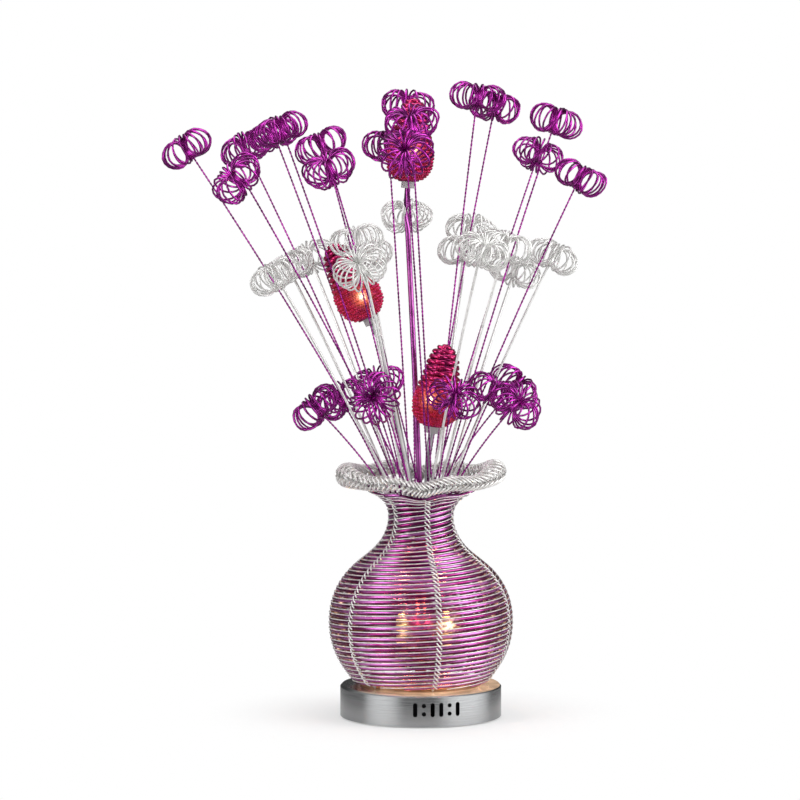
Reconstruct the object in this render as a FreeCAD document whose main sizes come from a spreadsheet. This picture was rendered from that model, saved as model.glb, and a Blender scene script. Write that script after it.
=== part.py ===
import FreeCAD, Part
import math
import os

import Sketcher

# A table lamp of wound wire: a woven vase on a round steel base, with two small lamps inside the vase,
# three lamps on stalks under wound shades, and flowers of coiled wire on thin stems.
# The origin is the middle of the face that stands on the table. Z is up, and the vents face -Y.

SIZES = {
    # base drum
    "base_radius": 70.0,
    "base_height": 27.0,
    "base_lift": 1.0,
    "base_wall": 1.2,
    "base_edge": 1.8,
    "pillar_radius": 4.0,
    "pillar_reach": 58.0,
    "screw_radius": 1.5,
    "screw_length": 9.0,
    "screw_head_radius": 2.8,
    "screw_head_height": 1.4,
    "thread_gap": 0.05,
    # vents in the front wall: two of the six columns are pairs of round holes
    "vent_pitch_angle": 6.1,
    "vent_slot_radius": 1.8,
    "vent_low": 9.6,
    "vent_high": 21.6,
    "vent_dot_radius": 1.9,
    # cable inlet in the rear wall
    "inlet_height": 13.0,
    "inlet_bore_radius": 3.2,
    "inlet_sleeve_radius": 4.8,
    "inlet_flange_radius": 6.6,
    "inlet_flange": 1.5,
    "inlet_depth": 2.0,
    "running_gap": 0.05,
    # underside
    "pad_radius": 50.0,
    "pad_thickness": 2.0,
    "cover_thickness": 1.5,
    "cover_gap": 0.4,
    "cover_hole_gap": 0.3,
    # electrics in the base
    "transformer_long": 60.0,
    "transformer_wide": 28.0,
    "transformer_tall": 17.0,
    "transformer_reach": 32.0,
    "transformer_round": 2.5,
    "terminal_long": 30.0,
    "terminal_wide": 13.0,
    "terminal_tall": 11.0,
    "terminal_reach": 30.0,
    "terminal_shift": 24.0,
    "terminal_way": 3.0,
    # centre tube and what it clamps
    "tube_radius": 5.0,
    "tube_bore_radius": 4.0,
    "tube_below": 9.0,
    "lead_gap": 0.4,
    "nut_radius": 8.2,
    "nut_height": 4.0,
    "washer_radius": 12.0,
    "washer_thickness": 1.5,
    "seat_gap": 0.02,
    "floor_margin": 6.0,
    "floor_thickness": 2.0,
    # lamps in the vase
    "bracket_height": 46.0,
    "bracket_thickness": 2.0,
    "bracket_wide": 12.0,
    "bracket_end": 7.0,
    "right_lamp_reach": 23.0,
    "left_lamp_reach": 17.0,
    "socket_wide": 9.0,
    "socket_tall": 13.0,
    # vase: the radius to the outside of the rows at nine places, from the foot to the mouth
    "foot_radius": 58.8,
    "belly_low_radius": 74.4,
    "belly_radius": 80.4,
    "belly_high_radius": 75.8,
    "shoulder_radius": 60.5,
    "shoulder_high_radius": 39.5,
    "neck_radius": 28.8,
    "throat_radius": 32.5,
    "mouth_radius": 50.0,
    "foot_height": 30.2,
    "mouth_height": 200.5,
    # the height of each place as a share of the way from the foot to the mouth
    "foot_share": 0.0,
    "belly_low_share": 0.14,
    "belly_share": 0.316,
    "belly_high_share": 0.457,
    "shoulder_share": 0.586,
    "shoulder_high_share": 0.692,
    "neck_share": 0.8385,
    "throat_share": 0.9266,
    "mouth_share": 1.0,
    "rib_radius": 1.2,
    "row_count": 28.0,
    "row_depth": 1.2,
    "wall_thickness": 2.9,
    "wall_share": 0.95,
    "rib_share": 0.985,
    "touch_gap": 0.1,
    # ruffled rim: a fine spring on a hoop, drawn out into two ears
    "rim_radius": 50.5,
    "rim_rise": 8.1,
    "ear_reach": 13.5,
    "ear_lift": 2.4,
    "rim_back_lift": 4.75,
    "ruffle_reach": 3.0,
    "ruffle_lift": 2.0,
    "curl_radius": 5.9,
    "curl_wire_radius": 0.6,
    "curl_count": 42.0,
    "hoop_radius": 0.8,
    # stem holder in the neck
    "holder_margin": 4.8,
    "holder_drop": 11.0,
    "holder_thickness": 12.0,
    "holder_seat": 5.0,
    "tube_seat": 4.0,
    "stem_gap": 0.1,
    # each ring of holes as a share of the holder's radius
    "upper_ring_share": 0.48,
    "silver_ring_share": 0.667,
    "lower_ring_share": 0.854,
    "stalk_ring_share": 0.208,
    # stems and flowers
    "stem_half_width": 0.9,
    "stem_bow": 0.045,
    "low_stem_bow": 0.09,
    "stem_knee": 2.0,
    "stem_neck": 14.0,
    "stem_tip": 3.0,
    "flower_radius": 12.3,
    "loop_radius": 11.2,
    "flower_wire_radius": 0.75,
    "loop_count": 6.0,
    "bouquet_turn": -11.0,
    # stalk lamps and their shades
    "stalk_radius": 2.4,
    "stalk_bow": 0.06,
    "lamp_socket_radius": 5.8,
    "lamp_socket_tall": 14.0,
    "lamp_socket_below": 6.0,
    "collar_gap": 0.1,
    "collar_wall": 2.0,
    "collar_tall": 6.0,
    "shade_length": 70.0,
    "shade_wall": 2.2,
    "shade_row_depth": 1.0,
    "shade_rows": 12.0,
    # small halogen bulbs
    "bulb_radius": 4.6,
    "bulb_body": 20.0,
    "bulb_nose": 5.0,
    "bulb_pinch_tall": 4.0,
    "bulb_pinch_long": 7.6,
    "bulb_pinch_wide": 3.0,
    "pin_half_width": 0.4,
    "pin_reach": 2.0,
    "pin_length": 6.0,
    "bulb_gap": 0.2,
}

# Flowers in the order of their holes, as (across, back, height, nod): the middle of the flower in the
# bouquet's own frame, above the stem holder, and how far the tip is bent on past the stem's lean.
UPPER_FLOWERS = {
    "upper_back_flowers": [
        (-12, 57, 357, 0),
        (-28, 47, 322, 0),
    ],
    "upper_left_flowers": [
        (-155, 75, 320, 0),
        (-128, 40, 331, 0),
        (-201, -5, 318, 0),
        (-119, -25, 334, 0),
        (-85, -30, 320, 8),
        (-153, -105, 290, 20),
        (-77, -85, 299, 8),
    ],
    "upper_front_flowers": [
        (-14, -148, 310, 25),
        (-9, -113, 336, 8),
    ],
    "upper_right_flowers": [
        (115, -15, 341, 0),
        (137, 0, 293, 0),
        (49, 22, 363, 0),
        (106, 110, 315, 0),
        (65, 49, 356, 0),
    ],
}
SILVER_FLOWERS = {
    "silver_left_flowers": [
        (-48, 70, 226, 0),
        (-98, 79, 223, 0),
        (-115, 18, 215, 0),
        (-124, -35, 209, 0),
        (-54, -42, 239, 0),
        (-51, -105, 217, 20),
    ],
    "silver_right_flowers": [
        (52, -67, 230, 10),
        (72, -35, 234, 0),
        (115, 25, 225, 0),
        (83, 55, 212, 0),
        (38, 50, 229, 0),
        (45, 100, 247, 0),
        (-12, 100, 260, 0),
    ],
}
LOWER_FLOWERS = {
    "lower_left_flowers": [
        (-38, 62, 112, 0),
        (-70, 32, 100, 0),
        (-91, 2, 94, 0),
        (-39, -70, 106, 35),
    ],
    "lower_right_flowers": [
        (28, -58, 106, 10),
        (62, -20, 109, 0),
        (80, -55, 100, 0),
        (83, 35, 111, 0),
    ],
}
# The first hole of each ring in the stem holder, as an angle in the bouquet
RING_STARTS = {"upper": 112.0, "silver": 118.0, "lower": 124.0, "stalk": 90.0}

# Stalk lamps as the foot of the shade (across, back, height), the shade's lean and the way it leans
STALK_LAMPS = {
    "top": ((-11, 8, 290), 4.5, 330),
    "left": ((-45, 2, 172), 27, 166),
    "right": ((10, -10, 79), 9.5, 345),
}

# A shade's outline as (share of its length, radius to the outside of its rows)
SHADE_OUTLINE = [
    (0.05, 12.0),
    (0.13, 18.2),
    (0.25, 20.3),
    (0.36, 19.8),
    (0.50, 16.8),
    (0.66, 14.0),
    (0.80, 12.1),
    (0.91, 9.2),
    (0.98, 4.6),
]

doc = FreeCAD.newDocument("WireTableLamp")
sheet = doc.addObject("Spreadsheet::Sheet", "Sizes")
for row, (alias, number) in enumerate(SIZES.items(), start=1):
    sheet.set(f"A{row}", alias)
    sheet.set(f"B{row}", str(number))
    sheet.setAlias(f"B{row}", alias)
doc.recompute()

Vector = FreeCAD.Vector
UP = Vector(0, 0, 1)
pieces = []

# Heights that several pieces share, as expressions on the sheet
COVER_TOP = "(Sizes.pad_thickness + Sizes.cover_thickness)"
BASE_TOP = "(Sizes.base_lift + Sizes.base_height)"
BASE_ROOF = f"({BASE_TOP} - Sizes.base_wall)"
FLOOR_TOP = f"({BASE_TOP} + Sizes.floor_thickness)"
WASHER_TOP = f"({FLOOR_TOP} + Sizes.washer_thickness + 2 * Sizes.seat_gap)"
BRACKET_TOP = "(Sizes.bracket_height + Sizes.bracket_thickness)"
FLOOR_RADIUS = "(Sizes.foot_radius - Sizes.floor_margin)"
NECK = "(Sizes.foot_height + Sizes.neck_share * (Sizes.mouth_height - Sizes.foot_height))"
HOLDER_LOW = f"({NECK} - Sizes.holder_drop)"
HOLDER_RADIUS = "(Sizes.neck_radius - Sizes.holder_margin)"
HOLDER_TOP = f"({HOLDER_LOW} + Sizes.holder_thickness)"
TUBE_LOW = f"({BASE_TOP} - Sizes.tube_below)"
TUBE_TOP = f"({HOLDER_LOW} + Sizes.tube_seat)"
TUBE_HOLE = "((Sizes.tube_radius + Sizes.running_gap) / cos(15))"
INSIDE_RADIUS = "(Sizes.base_radius - Sizes.base_wall)"


def measure(expression):
    """The number that an expression on the sheet gives."""
    return float(sheet.evalExpression(expression))


def bind(thing, **expressions):
    """Tie properties of an object to expressions on the sheet."""
    for name, expression in expressions.items():
        thing.setExpression(name.replace("_", "."), expression)


def keep(thing, label):
    """Name an object as a finished piece of the lamp."""
    thing.Label = label
    pieces.append(thing)
    return thing


def origin_plane(body, role):
    return next(f for f in body.Origin.OriginFeatures if f.Role == role)


def new_sketch(body, name, plane, lift=None, turn=None):
    sketch = body.newObject("Sketcher::SketchObject", name)
    sketch.AttachmentSupport = (origin_plane(body, plane), [""])
    sketch.MapMode = "FlatFace"
    if lift:
        sketch.setExpression("AttachmentOffset.Base.z", lift)
    if turn:
        sketch.setExpression("AttachmentOffset.Rotation.Angle", turn)
    return sketch


def pin_point(sketch, edge, end, x, y):
    """Hold one end of an edge at a pair of expressions, measured from the sketch's origin."""
    for kind, axis, expression in (("DistanceX", -2, x), ("DistanceY", -1, y)):
        if expression == "0":
            sketch.addConstraint(Sketcher.Constraint("PointOnObject", edge, end, axis))
        else:
            size = measure(expression)
            index = sketch.addConstraint(Sketcher.Constraint(kind, -1, 1, edge, end, size))
            sketch.setExpression(f"Constraints[{index}]", expression)


def draw_outline(sketch, corners):
    """Draw a closed outline of straight lines through corners given as pairs of expressions."""
    places = [Vector(measure(x), measure(y), 0) for x, y in corners]
    first = sketch.GeometryCount
    count = len(corners)
    for i in range(count):
        sketch.addGeometry(Part.LineSegment(places[i], places[(i + 1) % count]), False)
    for i in range(count):
        following = first + (i + 1) % count
        sketch.addConstraint(Sketcher.Constraint("Coincident", first + i, 2, following, 1))
    for i, (x, y) in enumerate(corners):
        pin_point(sketch, first + i, 1, x, y)


def draw_circle(sketch, x, y, radius):
    circle = Part.Circle(Vector(measure(x), measure(y), 0), UP, measure(radius))
    edge = sketch.addGeometry(circle, False)
    index = sketch.addConstraint(Sketcher.Constraint("Radius", edge, measure(radius)))
    sketch.setExpression(f"Constraints[{index}]", radius)
    pin_point(sketch, edge, 3, x, y)


def draw_polygon(sketch, sides, x, y, radius):
    """Draw an even-sided polygon whose corners lie on a circle, with its first corner at half a step."""
    corners = []
    for number in range(sides):
        angle = 360 * (number + 0.5) / sides
        corners.append((f"{x} + {radius} * cos({angle})", f"{y} + {radius} * sin({angle})"))
    draw_outline(sketch, corners)


def draw_slot(sketch, x, low, high, radius):
    """Draw an upright slot with round ends between two heights."""
    across, size = measure(x), measure(radius)
    top = Vector(across, measure(high) - size, 0)
    foot = Vector(across, measure(low) + size, 0)
    side = Vector(size, 0, 0)
    cap = sketch.addGeometry(Part.ArcOfCircle(Part.Circle(top, UP, size), 0, math.pi), False)
    left = sketch.addGeometry(Part.LineSegment(top - side, foot - side), False)
    bowl = Part.ArcOfCircle(Part.Circle(foot, UP, size), math.pi, 2 * math.pi)
    bowl = sketch.addGeometry(bowl, False)
    right = sketch.addGeometry(Part.LineSegment(foot + side, top + side), False)
    for a, end_a, b, end_b in (
        (cap, 2, left, 1),
        (left, 2, bowl, 1),
        (bowl, 2, right, 1),
        (right, 2, cap, 1),
    ):
        sketch.addConstraint(Sketcher.Constraint("Tangent", a, end_a, b, end_b))
    index = sketch.addConstraint(Sketcher.Constraint("Radius", cap, size))
    sketch.setExpression(f"Constraints[{index}]", radius)
    pin_point(sketch, cap, 3, x, f"{high} - {radius}")
    index = sketch.addConstraint(Sketcher.Constraint("DistanceY", -1, 1, bowl, 3, foot.y))
    sketch.setExpression(f"Constraints[{index}]", f"{low} + {radius}")


def new_body(label):
    return keep(doc.addObject("PartDesign::Body", label), label)


def revolve(body, name, sketch):
    turned = body.newObject("PartDesign::Revolution", name)
    turned.Profile = sketch
    turned.ReferenceAxis = (sketch, ["V_Axis"])
    turned.Angle = 360
    return turned


def pad(body, name, sketch, length):
    raised = body.newObject("PartDesign::Pad", name)
    raised.Profile = sketch
    raised.setExpression("Length", length)
    return raised


def pocket(body, name, sketch, depth, backwards=False):
    """Cut a sketch into the body and make sure that the cut took material away."""
    doc.recompute()
    before = body.Shape.Volume
    hole = body.newObject("PartDesign::Pocket", name)
    hole.Profile = sketch
    hole.Reversed = backwards
    hole.setExpression("Length", depth)
    doc.recompute()
    if body.Shape.Volume > before - 0.1:
        raise ValueError(f"{name} cuts nothing")
    return hole


def repeat_round(body, name, feature, sketch, count):
    """Repeat a feature round the axis of its own sketch."""
    pattern = body.newObject("PartDesign::PolarPattern", name)
    pattern.Originals = [feature]
    pattern.Axis = (sketch, ["N_Axis"])
    pattern.Angle = 360
    pattern.Occurrences = count
    body.Tip = pattern
    return pattern


def round_edges(body, name, feature, radius, chosen):
    """Round the edges of a feature that a test chooses."""
    doc.recompute()
    edges = [f"Edge{i}" for i, e in enumerate(feature.Shape.Edges, start=1) if chosen(e)]
    fillet = body.newObject("PartDesign::Fillet", name)
    fillet.Base = (feature, edges)
    fillet.setExpression("Radius", radius)
    return fillet


def cylinder(name, radius, height, low="0"):
    rod = doc.addObject("Part::Cylinder", name)
    rod.setExpression("Radius", radius)
    rod.setExpression("Height", height)
    rod.setExpression("Placement.Base.z", low)
    return rod


def prism(name, sides, radius, height, low="0"):
    block = doc.addObject("Part::Prism", name)
    block.Polygon = sides
    block.setExpression("Circumradius", radius)
    block.setExpression("Height", height)
    block.setExpression("Placement.Base.z", low)
    return block


def box(name, long, wide, tall, x="0", y="0", z="0"):
    """A box centred on x and y, standing on z."""
    block = doc.addObject("Part::Box", name)
    block.setExpression("Length", long)
    block.setExpression("Width", wide)
    block.setExpression("Height", tall)
    block.setExpression("Placement.Base.x", f"{x} - ({long}) / 2")
    block.setExpression("Placement.Base.y", f"{y} - ({wide}) / 2")
    block.setExpression("Placement.Base.z", z)
    return block


def cut(name, whole, tool):
    result = doc.addObject("Part::Cut", name)
    result.Base = whole
    result.Tool = tool
    return result


def group(name, members):
    result = doc.addObject("Part::Compound", name)
    result.Links = members
    return result


def fuse(name, members):
    result = doc.addObject("Part::MultiFuse", name)
    result.Shapes = members
    return result


def made_of_wire(label, solids):
    """A piece whose faceted wires neither a sketch nor a primitive can draw."""
    shape = solids[0] if len(solids) == 1 else Part.makeCompound(solids)
    feature = doc.addObject("Part::Feature", label)
    feature.Shape = shape
    return keep(feature, label)


# Faceted wire


def carried(way, run, following):
    """Where a side of a wire points after a mitred turn from one run to the next."""
    mitre = run + following
    slid = way - run * (way.dot(mitre) / run.dot(mitre))
    return (slid - following * slid.dot(following)).normalize()


def run_directions(points):
    return [(b - a).normalize() for a, b in zip(points, points[1:])]


def wire(points, radius, sides, way):
    """A solid wire with straight runs between points, mitred where they meet.

    The radius is to the corners of its section, and one flat side of the first run faces the given way.
    """
    runs = run_directions(points)
    first = runs[0]
    across = (way - first * way.dot(first)).normalize()
    upright = first.cross(across)
    ring = []
    for i in range(sides):
        angle = 2 * math.pi * (i + 0.5) / sides
        corner = across * math.cos(angle) + upright * math.sin(angle)
        ring.append(points[0] + corner * radius)
    rings = [ring]
    for i, point in enumerate(points[1:]):
        run = runs[i]
        mitre = run + runs[i + 1] if i + 1 < len(runs) else run
        ring = [p + run * ((point - p).dot(mitre) / run.dot(mitre)) for p in ring]
        rings.append(ring)
    faces = [flat_face(rings[0]), flat_face(rings[-1])]
    for here, there in zip(rings, rings[1:]):
        for i in range(sides):
            j = (i + 1) % sides
            faces.append(flat_face([here[i], here[j], there[j], there[i]]))
    solid = Part.Solid(Part.Shell(faces))
    if solid.Volume < 0:
        solid.reverse()
    return solid


def flat_face(corners):
    return Part.Face(Part.makePolygon(corners + corners[:1]))


def faces_between(here, there):
    """Flat faces between two closed outlines with the same number of corners."""
    faces = []
    for i in range(len(here)):
        j = (i + 1) % len(here)
        corners = [here[i], here[j], there[j], there[i]]
        if here[i] == here[j]:
            faces.append(flat_face(corners[1:]))
        elif there[i] == there[j]:
            faces.append(flat_face(corners[:3]))
        else:
            faces += [flat_face(corners[:3]), flat_face(corners[2:] + corners[:1])]
    return faces


def solid_of(faces):
    solid = Part.Solid(Part.Shell(faces))
    if solid.Volume < 0:
        solid.reverse()
    return solid


def walled(rings):
    """A solid with a skin over rings of corners. A ring may be one point many times over.

    The last ring joins the first one, unless both are points.
    """
    faces = []
    for here, there in zip(rings, rings[1:]):
        faces += faces_between(here, there)
    if rings[0][0] != rings[0][1]:
        faces += faces_between(rings[-1], rings[0])
    return solid_of(faces)


def panel(sections):
    """A solid that runs from its first flat section to its last. Each goes up outside and down inside.

    The faces between them look inwards, as the two at the ends do, until the solid is turned.
    """
    faces = []
    for here, there in zip(sections, sections[1:]):
        faces += faces_between(here, there)
    for end, beside in ((sections[0], sections[1]), (sections[-1], sections[-2])):
        face = Part.makeFace(Part.makePolygon(end + end[:1]), "Part::FaceMakerSimple").Faces[0]
        if face.normalAt(0, 0).dot(beside[0] - end[0]) < 0:
            face.reverse()
        faces.append(face)
    return solid_of(faces)


def ridged(point, rows, first, last, row_depth):
    """Rings of corners up a wall of rows: a groove between rows, and a ridge at the middle of each."""
    rings = [point(first, row_depth)]
    for row in range(rows):
        step = (last - first) / rows
        rings.append(point(first + step * (row + 0.5), 0.0))
        rings.append(point(first + step * (row + 1), row_depth))
    return rings


def least_gap(points, radius, spacing):
    """The least gap that a wire leaves to its own other turns, measured between points along its runs."""
    samples = []
    along = 0.0
    for a, b in zip(points, points[1:]):
        length = (b - a).Length
        steps = max(1, math.ceil(length / spacing))
        for i in range(steps):
            samples.append((a + (b - a) * (i / steps), along + length * i / steps))
        along += length
    cell = 8 * radius
    near = {}
    for place, run in samples:
        near.setdefault(tuple(int(c // cell) for c in place), []).append((place, run))
    least = cell
    for (x, y, z), members in near.items():
        around = [
            other
            for i in (-1, 0, 1)
            for j in (-1, 0, 1)
            for k in (-1, 0, 1)
            for other in near.get((x + i, y + j, z + k), [])
        ]
        for place, run in members:
            for other, there in around:
                if there - run > 3 * cell / 2:
                    least = min(least, place.distanceToPoint(other))
    return least - 2 * radius


def report_gap(label, points, radius):
    gap = least_gap(points, radius, 2 * radius)
    print(f"{label}: least gap between turns {gap:.2f} mm")
    if gap < 0.4:
        raise ValueError(f"{label} comes too near to itself")


def frame_at(place, axis, way):
    """A placement with its own Z along an axis and its own X as near as can be to a way."""
    return FreeCAD.Placement(place, FreeCAD.Rotation(way, axis.cross(way), axis, "ZXY"))


def on_circle(angle, radius, height=0.0):
    """A point at an angle in degrees."""
    turn = math.radians(angle)
    return Vector(radius * math.cos(turn), radius * math.sin(turn), height)


# Base drum


def make_base_housing():
    """The spun drum: an open-bottomed shell with vents, an inlet hole and three screw pillars."""
    body = new_body("base_housing")
    section = new_sketch(body, "HousingSection", "XZ_Plane")
    draw_outline(
        section,
        [
            ("0", BASE_TOP),
            ("Sizes.base_radius - Sizes.base_edge", BASE_TOP),
            ("Sizes.base_radius", f"{BASE_TOP} - Sizes.base_edge"),
            ("Sizes.base_radius", "Sizes.base_lift"),
            (INSIDE_RADIUS, "Sizes.base_lift"),
            (INSIDE_RADIUS, f"{BASE_ROOF} - Sizes.base_edge / 2"),
            (f"{INSIDE_RADIUS} - Sizes.base_edge / 2", BASE_ROOF),
            ("0", BASE_ROOF),
        ],
    )
    revolve(body, "HousingShell", section)
    hole = new_sketch(body, "HousingTubeHole", "XY_Plane", lift=BASE_TOP)
    draw_polygon(hole, 12, "0", "0", TUBE_HOLE)
    pocket(body, "HousingTubeHoleCut", hole, "Sizes.base_wall + 1")

    vents = new_sketch(body, "Vents", "XZ_Plane")
    columns = (-2.5, -1.5, -0.5, 0.5, 1.5, 2.5)
    for column in columns:
        x = f"Sizes.base_radius * sin({column} * Sizes.vent_pitch_angle)"
        if abs(column) == 1.5:
            middle = "(Sizes.vent_low + Sizes.vent_high) / 2"
            apart = "(Sizes.vent_high - Sizes.vent_low) / 3.4"
            for sign in ("-", "+"):
                draw_polygon(vents, 8, x, f"{middle} {sign} {apart}", "Sizes.vent_dot_radius")
        else:
            draw_slot(vents, x, "Sizes.vent_low", "Sizes.vent_high", "Sizes.vent_slot_radius")
    pocket(body, "VentCut", vents, "Sizes.base_radius + 1", backwards=True)

    inlet = new_sketch(body, "Inlet", "XZ_Plane")
    draw_circle(inlet, "0", "Sizes.inlet_height", "Sizes.inlet_sleeve_radius + Sizes.running_gap")
    pocket(body, "InletCut", inlet, "Sizes.base_radius + 1")

    pillar = new_sketch(body, "Pillar", "XY_Plane", lift=COVER_TOP)
    draw_polygon(pillar, 8, "0", "-Sizes.pillar_reach", "Sizes.pillar_radius")
    draw_polygon(
        pillar, 8, "0", "-Sizes.pillar_reach", "((Sizes.screw_radius + Sizes.thread_gap) / cos(22.5))"
    )
    raised = pad(body, "PillarPad", pillar, f"{BASE_ROOF} - {COVER_TOP}")
    repeat_round(body, "Pillars", raised, pillar, 3)


def round_the_axis(block, reach, angle):
    """Stand a block at a distance from the axis, at an angle in degrees."""
    bind(
        block,
        Placement_Base_x=f"{reach} * cos({angle})",
        Placement_Base_y=f"{reach} * sin({angle})",
    )
    return block


PILLAR_ANGLES = (30, 150, 270)


def make_bottom_cover():
    """The flat plate that closes the drum, screwed to the pillars."""
    disc = prism(
        "CoverDisc",
        48,
        f"{INSIDE_RADIUS} - Sizes.cover_gap",
        "Sizes.cover_thickness",
        "Sizes.pad_thickness",
    )
    holes = []
    for angle in PILLAR_ANGLES:
        radius = "Sizes.screw_radius + Sizes.cover_hole_gap"
        hole = prism(f"CoverHole{angle}", 8, radius, "Sizes.cover_thickness + 2", "Sizes.pad_thickness - 1")
        holes.append(round_the_axis(hole, "Sizes.pillar_reach", angle))
    keep(cut("bottom_cover", disc, group("CoverHoles", holes)), "bottom_cover")


def make_base_pad():
    """The soft disc that the lamp stands on."""
    keep(prism("base_pad", 48, "Sizes.pad_radius", "Sizes.pad_thickness"), "base_pad")


def make_cover_screws():
    screws = []
    for angle in PILLAR_ANGLES:
        head_low = "Sizes.pad_thickness - Sizes.screw_head_height"
        head = prism(f"ScrewHead{angle}", 8, "Sizes.screw_head_radius", "Sizes.screw_head_height", head_low)
        shank = prism(
            f"ScrewShank{angle}", 8, "Sizes.screw_radius", "Sizes.screw_length", "Sizes.pad_thickness"
        )
        for block in (head, shank):
            round_the_axis(block, "Sizes.pillar_reach", angle)
        screws.append(fuse(f"Screw{angle}", [head, shank]))
    keep(group("cover_screws", screws), "cover_screws")


def make_cable_grommet():
    """The flanged bush in the rear wall that the mains lead would pass through."""
    body = new_body("cable_grommet")
    wall_in = f"{INSIDE_RADIUS} - Sizes.inlet_depth"
    wall_out = "Sizes.base_radius + Sizes.running_gap"
    section = new_sketch(body, "GrommetSection", "XZ_Plane")
    draw_outline(
        section,
        [
            ("Sizes.inlet_bore_radius", wall_in),
            ("Sizes.inlet_sleeve_radius", wall_in),
            ("Sizes.inlet_sleeve_radius", wall_out),
            ("Sizes.inlet_flange_radius", wall_out),
            ("Sizes.inlet_flange_radius", f"{wall_out} + Sizes.inlet_flange"),
            ("Sizes.inlet_bore_radius", f"{wall_out} + Sizes.inlet_flange"),
        ],
    )
    revolve(body, "GrommetRing", section)
    body.Placement = FreeCAD.Placement(Vector(0, 0, 0), FreeCAD.Rotation(Vector(1, 0, 0), -90))
    body.setExpression("Placement.Base.z", "Sizes.inlet_height")


def make_transformer():
    """The sealed 12 volt supply that sits on the cover behind the vents."""
    body = new_body("transformer")
    plan = new_sketch(body, "TransformerPlan", "XY_Plane", lift=COVER_TOP)
    half, middle = "Sizes.transformer_long / 2", "-Sizes.transformer_reach"
    front = f"{middle} - Sizes.transformer_wide / 2"
    rear = f"{middle} + Sizes.transformer_wide / 2"
    draw_outline(plan, [(f"-{half}", front), (half, front), (half, rear), (f"-{half}", rear)])
    block = pad(body, "TransformerBlock", plan, "Sizes.transformer_tall")

    def is_upright(edge):
        return abs(edge.tangentAt(edge.FirstParameter).z) > 0.99

    round_edges(body, "TransformerRound", block, "Sizes.transformer_round", is_upright)


def make_terminal_block():
    """The screw block that joins the mains lead to the supply, with three wire ways through it."""
    block = box(
        "TerminalSolid",
        "Sizes.terminal_long",
        "Sizes.terminal_wide",
        "Sizes.terminal_tall",
        x="-Sizes.terminal_shift",
        y="Sizes.terminal_reach",
        z=COVER_TOP,
    )
    ways = []
    for number in (-1, 0, 1):
        ways.append(
            box(
                f"TerminalWay{number + 1}",
                "Sizes.terminal_way",
                "Sizes.terminal_wide + 2",
                "Sizes.terminal_way",
                x=f"{number} * Sizes.terminal_long / 3 - Sizes.terminal_shift",
                y="Sizes.terminal_reach",
                z=f"{COVER_TOP} + (Sizes.terminal_tall - Sizes.terminal_way) / 2",
            )
        )
    keep(cut("terminal_block", block, group("TerminalWays", ways)), "terminal_block")


# Centre tube and what it carries


def make_centre_tube():
    length = f"{TUBE_TOP} - {TUBE_LOW}"
    outside = cylinder("TubeOutside", "Sizes.tube_radius", length, TUBE_LOW)
    inside = cylinder("TubeInside", "Sizes.tube_bore_radius", f"{length} + 2", f"{TUBE_LOW} - 1")
    keep(cut("centre_tube", outside, inside), "centre_tube")
    leads = prism(
        "lead_bundle",
        8,
        "Sizes.tube_bore_radius - Sizes.lead_gap",
        length,
        TUBE_LOW,
    )
    keep(leads, "lead_bundle")


def bored(name, block, low, thickness):
    """A block with a hole for the centre tube."""
    bore = prism(f"{name}Bore", 12, TUBE_HOLE, f"{thickness} + 2", f"{low} - 1")
    return cut(name, block, bore)


def make_tube_fixings():
    """Nuts under the drum's top, the vase's floor, the bracket and the stem holder, and one wide washer."""
    lows = (
        f"{BASE_ROOF} - Sizes.nut_height",
        WASHER_TOP,
        "Sizes.bracket_height - Sizes.nut_height",
        f"{HOLDER_LOW} - Sizes.nut_height",
    )
    fixings = []
    for number, low in enumerate(lows):
        block = prism(f"NutBlock{number}", 6, "Sizes.nut_radius", "Sizes.nut_height", low)
        fixings.append(bored(f"Nut{number}", block, low, "Sizes.nut_height"))
    low = f"({FLOOR_TOP} + Sizes.seat_gap)"
    disc = prism("WasherDisc", 24, "Sizes.washer_radius", "Sizes.washer_thickness", low)
    fixings.append(bored("Washer", disc, low, "Sizes.washer_thickness"))
    keep(group("tube_fixings", fixings), "tube_fixings")


def make_vase_floor():
    """The plate inside the foot of the vase, clamped to the drum and welded to the ribs."""
    disc = prism("FloorDisc", 24, FLOOR_RADIUS, "Sizes.floor_thickness", BASE_TOP)
    disc.Placement.Rotation = FreeCAD.Rotation(UP, 7.5)
    keep(bored("vase_floor", disc, BASE_TOP, "Sizes.floor_thickness"), "vase_floor")


def make_lamp_bracket():
    """The flat bar across the centre tube that carries the two lamps in the vase."""
    body = new_body("lamp_bracket")
    plan = new_sketch(body, "BracketPlan", "XY_Plane", lift="Sizes.bracket_height")
    left = "-Sizes.left_lamp_reach - Sizes.bracket_end"
    right = "Sizes.right_lamp_reach + Sizes.bracket_end"
    half = "Sizes.bracket_wide / 2"
    draw_outline(plan, [(left, f"-{half}"), (right, f"-{half}"), (right, half), (left, half)])
    draw_polygon(plan, 12, "0", "0", TUBE_HOLE)
    pad(body, "BracketBar", plan, "Sizes.bracket_thickness")


def lamp_socket_holes(name, top):
    """Two square pin holes, open at the top of a socket that ends at a height."""
    holes = []
    for side in (-1, 1):
        width = "2 * (Sizes.pin_half_width + Sizes.running_gap)"
        depth = "Sizes.pin_length + Sizes.bulb_gap"
        hole = box(
            f"{name}Hole{side + 1}",
            width,
            width,
            f"{depth} + 1",
            x=f"{side} * Sizes.pin_reach",
            z=f"{top} - ({depth})",
        )
        holes.append(hole)
    return group(f"{name}Holes", holes)


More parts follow.
